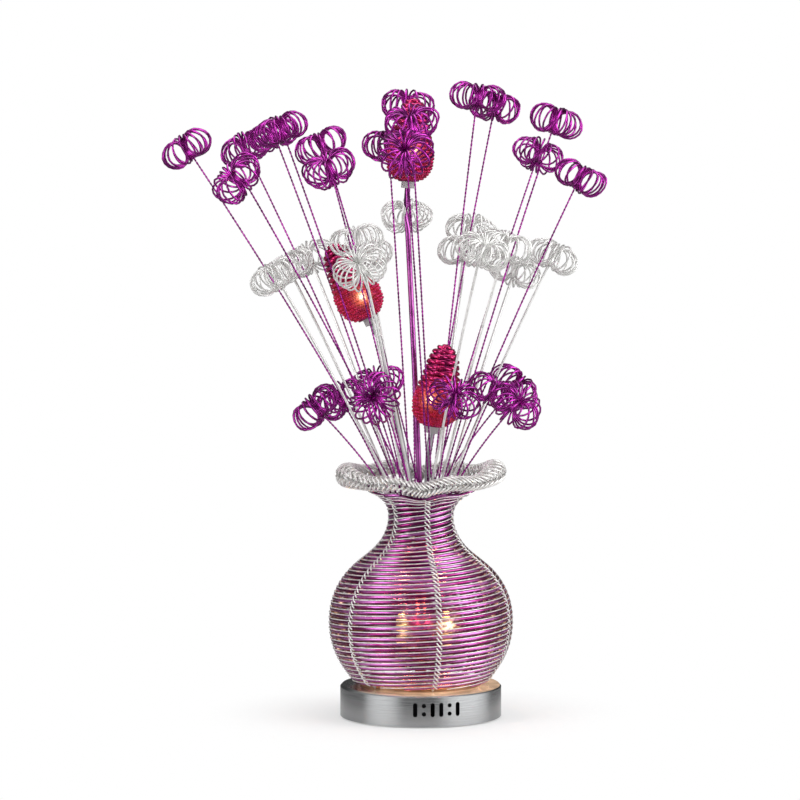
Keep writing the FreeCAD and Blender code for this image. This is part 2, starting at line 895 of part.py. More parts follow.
def make_vase_sockets():
    sockets = []
    for name, reach in (("Left", "-Sizes.left_lamp_reach"), ("Right", "Sizes.right_lamp_reach")):
        block = box(
            f"{name}SocketBlock",
            "Sizes.socket_wide",
            "Sizes.socket_wide",
            "Sizes.socket_tall",
        )
        socket = cut(f"{name}Socket", block, lamp_socket_holes(name, "Sizes.socket_tall"))
        socket.setExpression("Placement.Base.x", reach)
        socket.setExpression("Placement.Base.z", BRACKET_TOP)
        sockets.append(socket)
    keep(group("vase_sockets", sockets), "vase_sockets")


def make_bulb(label, placement):
    """A halogen capsule: a glass body with a nose, a flat pinch below it and two pins."""
    pinch_top = "Sizes.bulb_gap + Sizes.bulb_pinch_tall"
    glass = prism(f"{label}_glass", 8, "Sizes.bulb_radius", "Sizes.bulb_body", pinch_top)
    nose = prism(
        f"{label}_nose",
        8,
        "Sizes.bulb_radius * 0.6",
        "Sizes.bulb_nose",
        f"{pinch_top} + Sizes.bulb_body",
    )
    pinch = box(
        f"{label}_pinch",
        "Sizes.bulb_pinch_long",
        "Sizes.bulb_pinch_wide",
        "Sizes.bulb_pinch_tall",
        z="Sizes.bulb_gap",
    )
    pins = []
    for side in (-1, 1):
        width = "2 * Sizes.pin_half_width"
        pins.append(
            box(
                f"{label}_pin{side + 1}",
                width,
                width,
                "Sizes.pin_length",
                x=f"{side} * Sizes.pin_reach",
                z="Sizes.bulb_gap - Sizes.pin_length",
            )
        )
    bulb = fuse(label, [glass, nose, pinch] + pins)
    bulb.Placement = placement
    return keep(bulb, label)


def make_vase_bulbs():
    for label, reach in (
        ("vase_bulb_left", "-Sizes.left_lamp_reach"),
        ("vase_bulb_right", "Sizes.right_lamp_reach"),
    ):
        bulb = make_bulb(label, FreeCAD.Placement())
        bulb.setExpression("Placement.Base.x", reach)
        bulb.setExpression("Placement.Base.z", f"{BRACKET_TOP} + Sizes.socket_tall")


# Vase of woven wire

RIB_ANGLES = [270 + 60 * number for number in range(6)]
# the bands of the wall's smooth inside, which get narrower towards the mouth, where it curves most
INSIDE_STEPS = [1 - (1 - n / 12) ** 1.4 for n in range(13)]
HOOP_STEPS = 36
CURL_CORNERS = 5


def vase_profile():
    """The outside of the rows from the foot to the mouth, as one smooth curve of radius and height."""
    names = (
        "foot",
        "belly_low",
        "belly",
        "belly_high",
        "shoulder",
        "shoulder_high",
        "neck",
        "throat",
        "mouth",
    )
    curve = Part.BSplineCurve()
    foot, mouth = measure("Sizes.foot_height"), measure("Sizes.mouth_height")
    places = []
    for name in names:
        height = foot + (mouth - foot) * measure(f"Sizes.{name}_share")
        places.append(Vector(measure(f"Sizes.{name}_radius"), 0, height))
    curve.interpolate(places)
    return curve


def rim_draw(angle):
    """How far the ruffle draws the mouth outwards and upwards at an angle."""
    turn = math.radians(angle - measure("Sizes.bouquet_turn"))
    outwards = measure("Sizes.ear_reach") * math.cos(2 * turn)
    outwards += measure("Sizes.ruffle_reach") * math.cos(6 * turn)
    upwards = measure("Sizes.ear_lift") * math.cos(2 * turn)
    upwards += measure("Sizes.rim_back_lift") * math.sin(turn)
    upwards += measure("Sizes.ruffle_lift") * math.cos(6 * turn)
    return outwards, upwards


def vase_point(profile, share, angle, depth):
    """A point on the vase at a share of its outline, an angle, and a depth inside the outer surface."""
    length = profile.length()
    neck, mouth = measure(NECK), measure("Sizes.mouth_height")
    outwards, upwards = rim_draw(angle)

    def meridian(part):
        place = profile.value(profile.parameterAtDistance(part * length, profile.FirstParameter))
        flare = max(0.0, (place.z - neck) / (mouth - neck))
        return place.x + outwards * flare**3, place.z + upwards * flare**2

    radius, height = meridian(share)
    low, high = max(share - 0.004, 0.0), min(share + 0.004, 1.0)
    slope = Vector(meridian(high)[0] - meridian(low)[0], 0, meridian(high)[1] - meridian(low)[1])
    slope.normalize()
    return on_circle(angle, radius - depth * slope.z, height + depth * slope.x)


def make_vase():
    """The wall of wound rows, in a panel between each two ribs, and the six ribs inside it."""
    profile = vase_profile()
    top = measure("Sizes.wall_share")
    wall = measure("Sizes.wall_thickness")
    gap = measure("Sizes.touch_gap")
    seat = measure(BASE_TOP) + gap
    foot = measure("Sizes.foot_radius")
    rows = int(measure("Sizes.row_count"))
    row_depth = measure("Sizes.row_depth")

    def wall_section(angle):
        """The wall cut through at an angle: up the rows outside and down the smooth inside."""

        def corner(share, depth):
            return vase_point(profile, share, angle, depth)

        outside = ridged(corner, rows, 0.0, top, row_depth)
        inside = [corner(top * step, wall) for step in reversed(INSIDE_STEPS)]
        foot_outside = on_circle(angle, foot - row_depth, seat)
        return [foot_outside] + outside + inside + [on_circle(angle, foot - wall, seat)]

    panels = []
    for angle in RIB_ANGLES:
        panels.append(panel([wall_section(angle + turn) for turn in (0, 30, 60)]))
    made_of_wire("vase_purple_winding", panels)

    rib = measure("Sizes.rib_radius")
    rib_depth = wall + 6 * gap + rib / 2
    foot_height = measure(BASE_TOP) + rib + gap
    hoop_bottom = measure("Sizes.hoop_radius") / 2 + 2.5 * gap
    shares = [top * step for step in INSIDE_STEPS]
    shares.append(measure("Sizes.rib_share"))
    ribs = []
    for angle in RIB_ANGLES:
        points = [on_circle(angle, measure(f"{FLOOR_RADIUS} * cos(7.5)"), foot_height)]
        bend = vase_point(profile, 0.0, angle, rib_depth)
        reach = math.hypot(bend.x, bend.y)
        points.append(on_circle(angle, reach - rib / 2, foot_height))
        points += [vase_point(profile, share, angle, rib_depth) for share in shares]
        top_end = hoop_point(angle) - UP * hoop_bottom
        points += [top_end - UP * 2 * rib, top_end]
        ribs.append(wire(points, rib, 3, UP * -1))
    made_of_wire("vase_ribs", ribs)


def rim_point(angle):
    """The middle of the rim's roll at an angle."""
    outwards, upwards = rim_draw(angle)
    radius = measure("Sizes.rim_radius") + outwards
    return on_circle(angle, radius, measure("Sizes.mouth_height + Sizes.rim_rise") + upwards)


def hoop_point(angle):
    """The hoop lies inside the roll, under the top of its curls."""
    curl = measure("Sizes.curl_radius") * math.cos(math.pi / 5)
    lift = curl - measure("Sizes.curl_wire_radius") - measure("Sizes.hoop_radius")
    return rim_point(angle) + UP * (lift - 2 * measure("Sizes.touch_gap"))


def make_rim():
    """The rolled rim: a fine spring, wound five corners a curl, on a hoop that joins the ribs."""
    seam = 0.5
    first = RIB_ANGLES[0] + 180 / HOOP_STEPS
    angles = [first + seam + (360 - 2 * seam) * n / HOOP_STEPS for n in range(HOOP_STEPS + 1)]
    hoop = [hoop_point(angle) for angle in angles]
    made_of_wire("rim_hoop", [wire(hoop, measure("Sizes.hoop_radius"), 3, UP * -1)])

    curls = int(measure("Sizes.curl_count"))
    radius = measure("Sizes.curl_radius")
    corners = curls * CURL_CORNERS
    points = []
    for number in range(corners):
        angle = RIB_ANGLES[0] + 360 * (number + 0.5) / corners
        phase = 2 * math.pi * (number + 0.5) / CURL_CORNERS
        side = on_circle(angle, radius * math.sin(phase), radius * math.cos(phase))
        points.append(rim_point(angle) + side)
    thickness = measure("Sizes.curl_wire_radius")
    report_gap("rim_coil", points, thickness)
    made_of_wire("rim_coil", [wire(points, thickness, 3, points[0])])


# Stem holder and stems

RINGS = {
    "upper": (f"Sizes.upper_ring_share * {HOLDER_RADIUS}", "Sizes.stem_bow", UPPER_FLOWERS),
    "silver": (f"Sizes.silver_ring_share * {HOLDER_RADIUS}", "Sizes.stem_bow", SILVER_FLOWERS),
    "lower": (f"Sizes.lower_ring_share * {HOLDER_RADIUS}", "Sizes.low_stem_bow", LOWER_FLOWERS),
}
STALK_RING = f"Sizes.stalk_ring_share * {HOLDER_RADIUS}"
SQUARE_CORNER = math.sqrt(2)
OCTAGON_FLAT = math.cos(math.pi / 8)


def ring_places(ring):
    """How many flowers stand in a ring of the holder."""
    return sum(len(flowers) for flowers in RINGS[ring][2].values())


def hole_angle(ring, number, count):
    return RING_STARTS[ring] + measure("Sizes.bouquet_turn") + 360 * number / count


def make_stem_holder():
    """The twelve-sided plug in the neck, with a ring of blind holes for each tier of stems."""
    body = new_body("stem_holder")
    plan = new_sketch(body, "HolderPlan", "XY_Plane", lift=HOLDER_LOW)
    draw_polygon(plan, 12, "0", "0", HOLDER_RADIUS)
    pad(body, "HolderPlug", plan, "Sizes.holder_thickness")

    seat = new_sketch(body, "TubeSeat", "XY_Plane", lift=HOLDER_LOW)
    draw_polygon(seat, 12, "0", "0", TUBE_HOLE)
    pocket(body, "TubeSeatCut", seat, "Sizes.tube_seat", backwards=True)

    stem_half = "(Sizes.stem_half_width + Sizes.stem_gap)"
    stalk_half = f"(Sizes.stalk_radius * {OCTAGON_FLAT} + Sizes.stem_gap)"
    rings = [(name, RINGS[name][0], stem_half, ring_places(name)) for name in RINGS]
    rings.append(("stalk", STALK_RING, stalk_half, 3))
    for name, reach, half, count in rings:
        turn = f"{RING_STARTS[name]} + Sizes.bouquet_turn"
        sketch = new_sketch(body, f"{name.title()}Hole", "XY_Plane", lift=HOLDER_TOP, turn=turn)
        near, far = f"{reach} - {half}", f"{reach} + {half}"
        draw_outline(sketch, [(near, f"-{half}"), (far, f"-{half}"), (far, half), (near, half)])
        hole = pocket(body, f"{name.title()}HoleCut", sketch, "Sizes.holder_seat")
        repeat_round(body, f"{name.title()}Holes", hole, sketch, count)


def bouquet_point(across, back, height):
    """A point given in the bouquet's own frame, which stands on the stem holder."""
    turned = FreeCAD.Rotation(UP, measure("Sizes.bouquet_turn"))
    return turned.multVec(Vector(across, back, height + measure(HOLDER_TOP)))


def bowed(start, end, bow, steps):
    """Points on an arch from start to end that leans outwards, without the two ends."""
    chord = end - start
    middle = (start + end) * 0.5
    inwards = UP * chord.Length - chord * (chord.z / chord.Length)
    handle = middle + inwards * bow
    points = []
    for number in range(1, steps):
        t = number / steps
        points.append(start * (1 - t) ** 2 + handle * (2 * t * (1 - t)) + end * t**2)
    return points, (end - handle).normalize()


def stem_path(ring, number, count, flower):
    """The route of one stem, and the place, axis and side of the flower on its tip."""
    across, back, height, nod = flower
    hole = hole_angle(ring, number, count)
    seat = measure(f"{HOLDER_TOP} - Sizes.holder_seat")
    knee = measure(f"{HOLDER_TOP} + Sizes.stem_knee")
    ring_radius = measure(RINGS[ring][0])
    foot = on_circle(hole, ring_radius, seat)
    start = on_circle(hole, ring_radius, knee)
    centre = bouquet_point(across, back, height)
    bow = measure(RINGS[ring][1])
    lean = bowed(start, centre, bow, 3)[1]
    sideways = UP.cross(lean).normalize()
    axis = FreeCAD.Rotation(sideways, nod).multVec(lean)
    neck = centre - axis * measure("Sizes.stem_neck")
    points = [foot, start] + bowed(start, neck, bow, 3)[0] + [neck]
    points.append(centre + axis * measure("Sizes.stem_tip"))
    way = on_circle(hole, 1.0)
    runs = run_directions(points)
    for run, following in zip(runs, runs[1:]):
        way = carried(way, run, following)
    return points, centre, axis, way


def flower_points(placement):
    """A flower: a wire wound round a ring, four corners a loop, starting square on the stem."""
    loops, corners = int(measure("Sizes.loop_count")), 4
    ring, loop = measure("Sizes.flower_radius"), measure("Sizes.loop_radius")
    inner = 2.5 * 2 * math.pi / corners
    first = Vector(measure("Sizes.stem_half_width"), 0, loop * math.sin(inner))
    points = [first]
    for number in range(loops * corners):
        round_ring = 2 * math.pi * number / (loops * corners)
        round_loop = inner + 2 * math.pi * number / corners
        reach = ring + loop * math.cos(round_loop)
        points.append(
            Vector(
                reach * math.cos(round_ring),
                reach * math.sin(round_ring),
                loop * math.sin(round_loop),
            )
        )
    return [placement.multVec(p) for p in points]


def make_flowers():
    thickness = measure("Sizes.flower_wire_radius")
    stem_corner = measure("Sizes.stem_half_width") * SQUARE_CORNER
    report_gap("flower", flower_points(FreeCAD.Placement()), thickness)
    for ring, (_, _, clusters) in RINGS.items():
        stems = []
        count = ring_places(ring)
        flowers = [(label, flower) for label in clusters for flower in clusters[label]]
        heads = {label: [] for label in clusters}
        for number, (label, flower) in enumerate(flowers):
            points, centre, axis, way = stem_path(ring, number, count, flower)
            start_way = on_circle(hole_angle(ring, number, count), 1.0)
            stems.append(wire(points, stem_corner, 4, start_way))
            coil = flower_points(frame_at(centre, axis, way))
            heads[label].append(wire(coil, thickness, 3, axis))
        made_of_wire(f"{ring}_stems", stems)
        for label, solids in heads.items():
            made_of_wire(label, solids)


# Stalk lamps

SHADE_SIDES = 10
SHADE_BANDS = 5


def shade_frame(name):
    """The foot of a shade and the way it leans."""
    place, lean, leaning_to = STALK_LAMPS[name]
    foot = bouquet_point(*place)
    sideways = on_circle(leaning_to + measure("Sizes.bouquet_turn") + 90, 1.0)
    axis = FreeCAD.Rotation(sideways, lean).multVec(UP)
    return foot, axis


def shade_wall(placement):
    """The shade's closed wall: out from the collar, round the belly in rows and in again to the tip."""
    length = measure("Sizes.shade_length")
    curve = Part.BSplineCurve()
    curve.interpolate([Vector(radius, 0, share * length) for share, radius in SHADE_OUTLINE])
    around = curve.length()
    wall = measure("Sizes.shade_wall")
    collar = measure("Sizes.lamp_socket_radius + 2 * Sizes.collar_gap + Sizes.collar_wall")
    foot = curve.StartPoint.z

    def corners(radius, height):
        steps = range(SHADE_SIDES)
        return [on_circle(360 * (n + 0.5) / SHADE_SIDES, radius, height) for n in steps]

    def ring(share, depth):
        at = curve.parameterAtDistance(around * share, curve.FirstParameter)
        place, slope = curve.value(at), curve.tangent(at)[0]
        return corners(place.x - depth * slope.z, place.z + depth * slope.x)

    rows = int(measure("Sizes.shade_rows"))
    outside = ridged(ring, rows, 0.0, 1.0, measure("Sizes.shade_row_depth"))
    outside.append(corners(0.0, length))
    inside = [corners(0.0, length - wall)]
    inside += [ring(n / SHADE_BANDS, wall) for n in range(SHADE_BANDS, 0, -1)]
    hole = collar / math.cos(math.pi / SHADE_SIDES)
    inside += [corners(hole, foot + wall), corners(hole, foot - wall / 2)]
    rings = inside + outside
    return walled([[placement.multVec(p) for p in ring_corners] for ring_corners in rings])


def make_stalk_lamps():
    for number, (name, hole_number) in enumerate((("top", 0), ("left", 1), ("right", 2))):
        foot, axis = shade_frame(name)
        hole = hole_angle("stalk", hole_number, 3)
        stalk_radius = measure("Sizes.stalk_radius")
        ring = measure(STALK_RING)
        seat = on_circle(hole, ring, measure(f"{HOLDER_TOP} - Sizes.holder_seat"))
        start = on_circle(hole, ring, measure(f"{HOLDER_TOP} + Sizes.stem_knee"))
        end = foot - axis * measure("Sizes.lamp_socket_below")
        neck = end - axis * measure("Sizes.stem_neck")
        points = [seat, start] + bowed(start, neck, measure("Sizes.stalk_bow"), 5)[0] + [neck, end]
        made_of_wire(f"stalk_{name}", [wire(points, stalk_radius, 8, on_circle(hole, 1.0))])

        way = Vector(0, -1, 0)
        flat_turn = FreeCAD.Placement(Vector(), FreeCAD.Rotation(UP, 22.5))
        socket_place = frame_at(end, axis, way)
        block = prism(f"SocketBlock_{name}", 8, "Sizes.lamp_socket_radius", "Sizes.lamp_socket_tall")
        block.Placement = flat_turn
        socket = cut(
            f"lamp_socket_{name}", block, lamp_socket_holes(f"Lamp_{name}", "Sizes.lamp_socket_tall")
        )
        socket.Placement = socket_place
        keep(socket, f"lamp_socket_{name}")
        top = end + axis * measure("Sizes.lamp_socket_tall")
        make_bulb(f"bulb_{name}", frame_at(top, axis, way))

        shade_place = frame_at(foot, axis, way)
        outer = "Sizes.lamp_socket_radius + Sizes.collar_gap + Sizes.collar_wall"
        sleeve = prism(f"CollarOutside_{name}", 8, outer, "Sizes.collar_tall")
        bore = prism(
            f"CollarBore_{name}",
            8,
            "Sizes.lamp_socket_radius + Sizes.collar_gap",
            "Sizes.collar_tall + 2",
            "-1",
        )
        collar = cut(f"shade_collar_{name}", sleeve, bore)
        collar.Placement = shade_place * flat_turn
        keep(collar, f"shade_collar_{name}")
        made_of_wire(f"shade_{name}", [shade_wall(shade_place)])
        print(f"{name} lamp: foot {tuple(foot)}, axis {tuple(axis)}")


def check_and_write():
    """Stop at any failed object or piece, then write one file for each piece."""
    doc.recompute()
    for thing in doc.Objects:
        if {"Invalid", "Error"} & set(thing.State):
            raise ValueError(f"{thing.Label} did not compute: {thing.State}")
    os.makedirs("parts", exist_ok=True)
    for piece in pieces:
        shape = piece.Shape
        if shape.isNull() or not shape.isValid() or not shape.Solids:
            raise ValueError(f"{piece.Label} has no valid solid")
        shape.exportStep(f"parts/{piece.Label}.step")
    print(f"{len(pieces)} pieces written")


make_base_housing()
make_bottom_cover()
make_base_pad()
make_cover_screws()
make_cable_grommet()
make_transformer()
make_terminal_block()
make_centre_tube()
make_tube_fixings()
make_vase_floor()
make_lamp_bracket()
make_vase_sockets()
make_vase_bulbs()
make_vase()
make_rim()
make_stem_holder()
make_flowers()
make_stalk_lamps()
check_and_write()
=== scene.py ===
# %% [markdown]
# # A table lamp of wound wire
# A woven vase stands on a round steel base. Stems of twisted wire rise from its neck and carry flowers
# of coiled wire, and three lamps under wound shades stand among them on stalks.
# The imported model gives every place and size. This lesson dresses it: each wound form is grown along
# lines by Geometry Nodes, and each finish is a small node material.

# %% Load the frame
import math

import bpy
import numpy as np
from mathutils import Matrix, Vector


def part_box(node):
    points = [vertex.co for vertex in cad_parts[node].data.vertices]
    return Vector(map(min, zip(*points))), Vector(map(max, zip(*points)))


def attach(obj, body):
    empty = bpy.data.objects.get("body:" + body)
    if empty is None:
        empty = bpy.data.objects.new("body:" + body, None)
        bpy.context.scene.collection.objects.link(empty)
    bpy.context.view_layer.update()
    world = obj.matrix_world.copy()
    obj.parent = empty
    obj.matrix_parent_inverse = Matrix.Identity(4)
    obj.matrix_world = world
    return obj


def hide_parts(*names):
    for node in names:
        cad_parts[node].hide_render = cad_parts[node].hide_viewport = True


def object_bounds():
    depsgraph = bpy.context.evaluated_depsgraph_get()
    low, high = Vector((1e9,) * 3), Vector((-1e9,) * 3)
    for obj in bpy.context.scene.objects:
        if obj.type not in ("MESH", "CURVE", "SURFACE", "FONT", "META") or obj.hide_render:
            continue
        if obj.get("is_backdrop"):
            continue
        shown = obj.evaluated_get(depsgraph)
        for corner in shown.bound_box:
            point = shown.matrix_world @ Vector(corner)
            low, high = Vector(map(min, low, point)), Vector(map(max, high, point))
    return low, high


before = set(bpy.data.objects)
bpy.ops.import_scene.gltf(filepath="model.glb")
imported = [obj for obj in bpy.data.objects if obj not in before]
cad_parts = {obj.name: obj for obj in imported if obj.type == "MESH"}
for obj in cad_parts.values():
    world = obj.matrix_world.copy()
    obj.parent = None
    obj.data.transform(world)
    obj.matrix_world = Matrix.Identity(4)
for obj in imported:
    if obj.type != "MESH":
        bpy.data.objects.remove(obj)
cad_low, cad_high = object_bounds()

print("nodes:", len(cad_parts), "box from", cad_low, "to", cad_high)

# %% [markdown]
# ## Arithmetic with nodes
# Every form and finish below is a net of nodes, and most of these only add or multiply. Placed one by
# one, they are hard to read. One small class wraps a socket, so that `a * 2 + b` adds the Math nodes.


# %% Numbers
class Number:
    """A socket that gives a number or a vector. Arithmetic on it adds Math nodes to its tree."""

    def __init__(self, tree, socket):
        self.tree = tree
        self.socket = socket

    def math(self, operation, *others):
        inputs = dict(enumerate((self,) + others))
        return self.tree.add("ShaderNodeMath", {"operation": operation}, inputs)

    def __add__(self, other):
        return self.math("ADD", other)

    def __rsub__(self, other):
        return self.math("MULTIPLY", -1.0).math("ADD", other)

    def __sub__(self, other):
        return self.math("SUBTRACT", other)

    def __mul__(self, other):
        return self.math("MULTIPLY", other)

    def __truediv__(self, other):
        return self.math("DIVIDE", other)

    def sine(self):
        return self.math("SINE")

    def cosine(self):
        return self.math("COSINE")

    def give(self, name):
        """Another output of the same node."""
        return Number(self.tree, self.socket.node.outputs[name])


print("numbers ready")

# %% [markdown]
# ## Placing nodes
# The other nodes come from one method that takes their type, settings and inputs. Kinds that are needed
# often get a short method of their own. The class works for finishes and for forms.


# %% Trees
class Tree:
    """A node tree that is filled one node at a time."""

    def __init__(self, group):
        self.group = group

    def link(self, number, socket):
        self.group.links.new(number.socket, socket)

    def add(self, kind, settings=None, inputs=None, output=0):
        node = self.group.nodes.new(kind)
        for name, value in (settings or {}).items():
            setattr(node, name, value)
        for place, value in (inputs or {}).items():
            if isinstance(value, Number):
                self.link(value, node.inputs[place])
            else:
                node.inputs[place].default_value = value
        return Number(self, node.outputs[output]) if len(node.outputs) else node

    def vector(self, x, y, z):
        return self.add("ShaderNodeCombineXYZ", inputs={0: x, 1: y, 2: z})

    def vectors(self, operation, first, second):
        return self.add("ShaderNodeVectorMath", {"operation": operation}, {0: first, 1: second})

    def scaled(self, vector, factor):
        return self.add("ShaderNodeVectorMath", {"operation": "SCALE"}, {0: vector, "Scale": factor})

    def measure(self, operation, *vectors):
        """A number taken from vectors: a length, a distance or a dot product."""
        inputs = dict(enumerate(vectors))
        return self.add("ShaderNodeVectorMath", {"operation": operation}, inputs, "Value")

    def ranged(self, value, source, result, smooth=False):
        """A value carried over from one range to another, and held at its ends."""
        settings = {"interpolation_type": "SMOOTHSTEP"} if smooth else {}
        inputs = {0: value, 1: source[0], 2: source[1], 3: result[0], 4: result[1]}
        return self.add("ShaderNodeMapRange", settings, inputs)

    def noise(self, place, scale, detail=2.0):
        return self.add("ShaderNodeTexNoise", {}, {"Vector": place, "Scale": scale, "Detail": detail})


print("trees ready")

# %% [markdown]
# ## How a form begins and ends
# A form needs named inputs, so that it gives thick and thin wire, and the same last steps each time: real
# geometry in place of repeats, smooth shading and the material.


# %% Begin and end a form
def form_tree(name, **inputs):
    """A new Geometry Nodes tree with named inputs, and those inputs as numbers."""
    group = bpy.data.node_groups.new(name, "GeometryNodeTree")
    kinds = {int: "NodeSocketInt", float: "NodeSocketFloat"}
    new = group.interface.new_socket
    new("Geometry", in_out="INPUT", socket_type="NodeSocketGeometry")
    for label, value in inputs.items():
        new(label, in_out="INPUT", socket_type=kinds[type(value)]).default_value = value
    new("Material", in_out="INPUT", socket_type="NodeSocketMaterial")
    new("Geometry", in_out="OUTPUT", socket_type="NodeSocketGeometry")
    tree = Tree(group)
    outputs = group.nodes.new("NodeGroupInput").outputs
    given = {socket.name: Number(tree, socket) for socket in outputs if socket.name}
    return tree, given


def close_tree(tree, given, geometry):
    """The end of every form: real geometry, smooth, with its material."""
    real = tree.add("GeometryNodeRealizeInstances", inputs={0: geometry})
    smooth = tree.add("GeometryNodeSetShadeSmooth", inputs={0: real})
    painted = tree.add("GeometryNodeSetMaterial", inputs={0: smooth, "Material": given["Material"]})
    tree.add("NodeGroupOutput", inputs={0: painted})
    return tree.group


print("form helpers ready")

# %% [markdown]
# ## Growing a piece
# A form starts as bare lines or points, and the tree grows it. The modifier could stay, but a plain mesh
# can be measured and exported as it is. It rides on its body and stands for the nodes that it dresses.


# %% Grow and dress a piece
def join_lines(lines):
    """One set of corners and edges from several runs of points. A run is (points, closed)."""
    corners, edges = [], []
    for points, closed in lines:
        first = len(corners)
        corners += [tuple(point) for point in points]
        edges += [(first + i, first + i + 1) for i in range(len(points) - 1)]
        if closed:
            edges.append((len(corners) - 1, first))
    return corners, edges


def grow(name, corners, edges, group, material, settings, attributes=None):
    """The plain mesh that a tree makes of lines or points."""
    start_mesh = bpy.data.meshes.new(name + "_lines")
    start_mesh.from_pydata(corners, edges, [])
    for label, values in (attributes or {}).items():
        vector = isinstance(values[0], tuple)
        layer = start_mesh.attributes.new(label, "FLOAT_VECTOR" if vector else "FLOAT", "POINT")
        flat = [number for value in values for number in value] if vector else values
        layer.data.foreach_set("vector" if vector else "value", flat)
    start = bpy.data.objects.new(name + "_lines", start_mesh)
    bpy.context.scene.collection.objects.link(start)
    modifier = start.modifiers.new("form", "NODES")
    modifier.node_group = group
    values = dict(settings, Material=material)
    for item in group.interface.items_tree:
        if item.in_out == "INPUT" and item.name in values:
            modifier[item.identifier] = values[item.name]
    bpy.context.view_layer.update()
    graph = bpy.context.evaluated_depsgraph_get()
    mesh = bpy.data.meshes.new_from_object(start.evaluated_get(graph), depsgraph=graph)
    bpy.data.objects.remove(start)
    piece = bpy.data.objects.new(name, mesh)
    bpy.context.scene.collection.objects.link(piece)
    print(f"{name}: {len(mesh.polygons)} faces")
    return piece


def dress(piece, body, slot, *nodes):
    """The piece rides on a body and stands for the nodes, which it hides. The slot is not used."""
    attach(piece, body)
    if nodes:
        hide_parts(*nodes)


def wires(name, lines, group, material, body, slot, *nodes, **settings):
    """One piece of wire along runs of points, grown and dressed."""
    corners, edges = join_lines(lines)
    dress(grow(name, corners, edges, group, material, settings), body, slot, *nodes)


print("growing ready")

# %% [markdown]
# ## Round wire
# The vase's rows, its ribs, the rim and the stalks are wire or tube of one thickness. A curve with a bevel
# would do for round wire, but not for flat bands. So a ring is swept along the line with its normal kept
# upright, and squeezed where the wire is flat.


# %% Round wire
def section(tree, sides, radius):
    """The round outline of a wire."""
    return tree.add("GeometryNodeCurvePrimitiveCircle", inputs={"Resolution": sides, "Radius": radius})


def swept(tree, line, outline, capped=True):
    """The wire that an outline makes along a line."""
    inputs = {"Curve": line, "Profile Curve": outline, "Fill Caps": capped}
    return tree.add("GeometryNodeCurveToMesh", inputs=inputs)


def round_wire():
    tree, given = form_tree("round wire", Radius=0.001, Flat=1.0, Sides=6)
    line = tree.add("GeometryNodeMeshToCurve", inputs={0: given["Geometry"]})
    upright = tree.add("GeometryNodeSetCurveNormal", {"mode": "Z_UP"}, {"Curve": line})
    ring = section(tree, given["Sides"], given["Radius"])
    size = tree.vector(given["Flat"], 1.0, 1.0)
    flat = tree.add("GeometryNodeTransform", inputs={"Geometry": ring, "Scale": size})
    return close_tree(tree, given, swept(tree, upright, flat))


ROUND = round_wire()
print("form:", ROUND.name)

# %% [markdown]
# ## Twisted wire
# The thin purple stems and the shades' ropes are two wires twisted together. One wire with a bump pattern
# would keep a smooth outline. Here the line is doubled, and each copy is led round it in a helix.

# %% Twisted wire
FULL_TURN = 2 * math.pi


def twisted_wire():
    tree, given = form_tree(
        "twisted wire", Strand=0.0005, Spread=0.0004, Pitch=0.007, Step=0.0014, Sides=5
    )
    line = tree.add("GeometryNodeMeshToCurve", inputs={0: given["Geometry"]})
    inputs = {"Curve": line, "Length": given["Step"]}
    even = tree.add("GeometryNodeResampleCurve", {"mode": "LENGTH"}, inputs)
    inputs = {"Geometry": even, "Amount": 2}
    pair = tree.add("GeometryNodeDuplicateElements", {"domain": "SPLINE"}, inputs)
    along = tree.add("GeometryNodeSplineParameter").give("Length")
    phase = (along / given["Pitch"] + pair.give("Duplicate Index") * 0.5) * FULL_TURN
    normal = tree.add("GeometryNodeInputNormal")
    tangent = tree.add("GeometryNodeInputTangent")
    side = tree.vectors("CROSS_PRODUCT", tangent, normal)
    away = tree.vectors("ADD", tree.scaled(normal, phase.cosine()), tree.scaled(side, phase.sine()))
    inputs = {"Geometry": pair, "Offset": tree.scaled(away, given["Spread"])}
    wound = tree.add("GeometryNodeSetPosition", inputs=inputs)
    ring = section(tree, given["Sides"], given["Strand"])
    return close_tree(tree, given, swept(tree, wound, ring))


TWISTED = twisted_wire()
print("form:", TWISTED.name)

# %% [markdown]
# ## Coiled flower
# A real flower is a loose spring, bent into a ring and pushed on the stem's tip. Copies of one would all
# be alike. This form bends a spring, sets it on every point, turned along that point's axis, and shakes it
# there with a noise.


# %% Coiled flower
def ring_of_loops(tree, given):
    """A spring bent into a closed ring. Its loops crowd in three places and swell in five."""
    crowding, swelling = 0.10, 0.07
    total = given["Loops"] * given["Steps"]
    peach_glints = tree.add("GeometryNodeMeshLine", {}, {"Count": total})
    line = tree.add("GeometryNodeMeshToCurve", inputs={0: peach_glints})
    index = tree.add("GeometryNodeInputIndex")
    even = index / total * FULL_TURN
    round_ring = even + (even * 3.0).sine() * crowding
    round_loop = index / given["Steps"] * FULL_TURN
    loop = given["Loop"] * ((round_ring * 5.0).sine() * swelling + 1.0)
    reach = given["Ring"] + loop * round_loop.cosine()
    place = tree.vector(reach * round_ring.cosine(), reach * round_ring.sine(), loop * round_loop.sine())
    coil = tree.add("GeometryNodeSetPosition", inputs={"Geometry": line, "Position": place})
    return tree.add("GeometryNodeSetSplineCyclic", inputs={"Geometry": coil, "Cyclic": True})


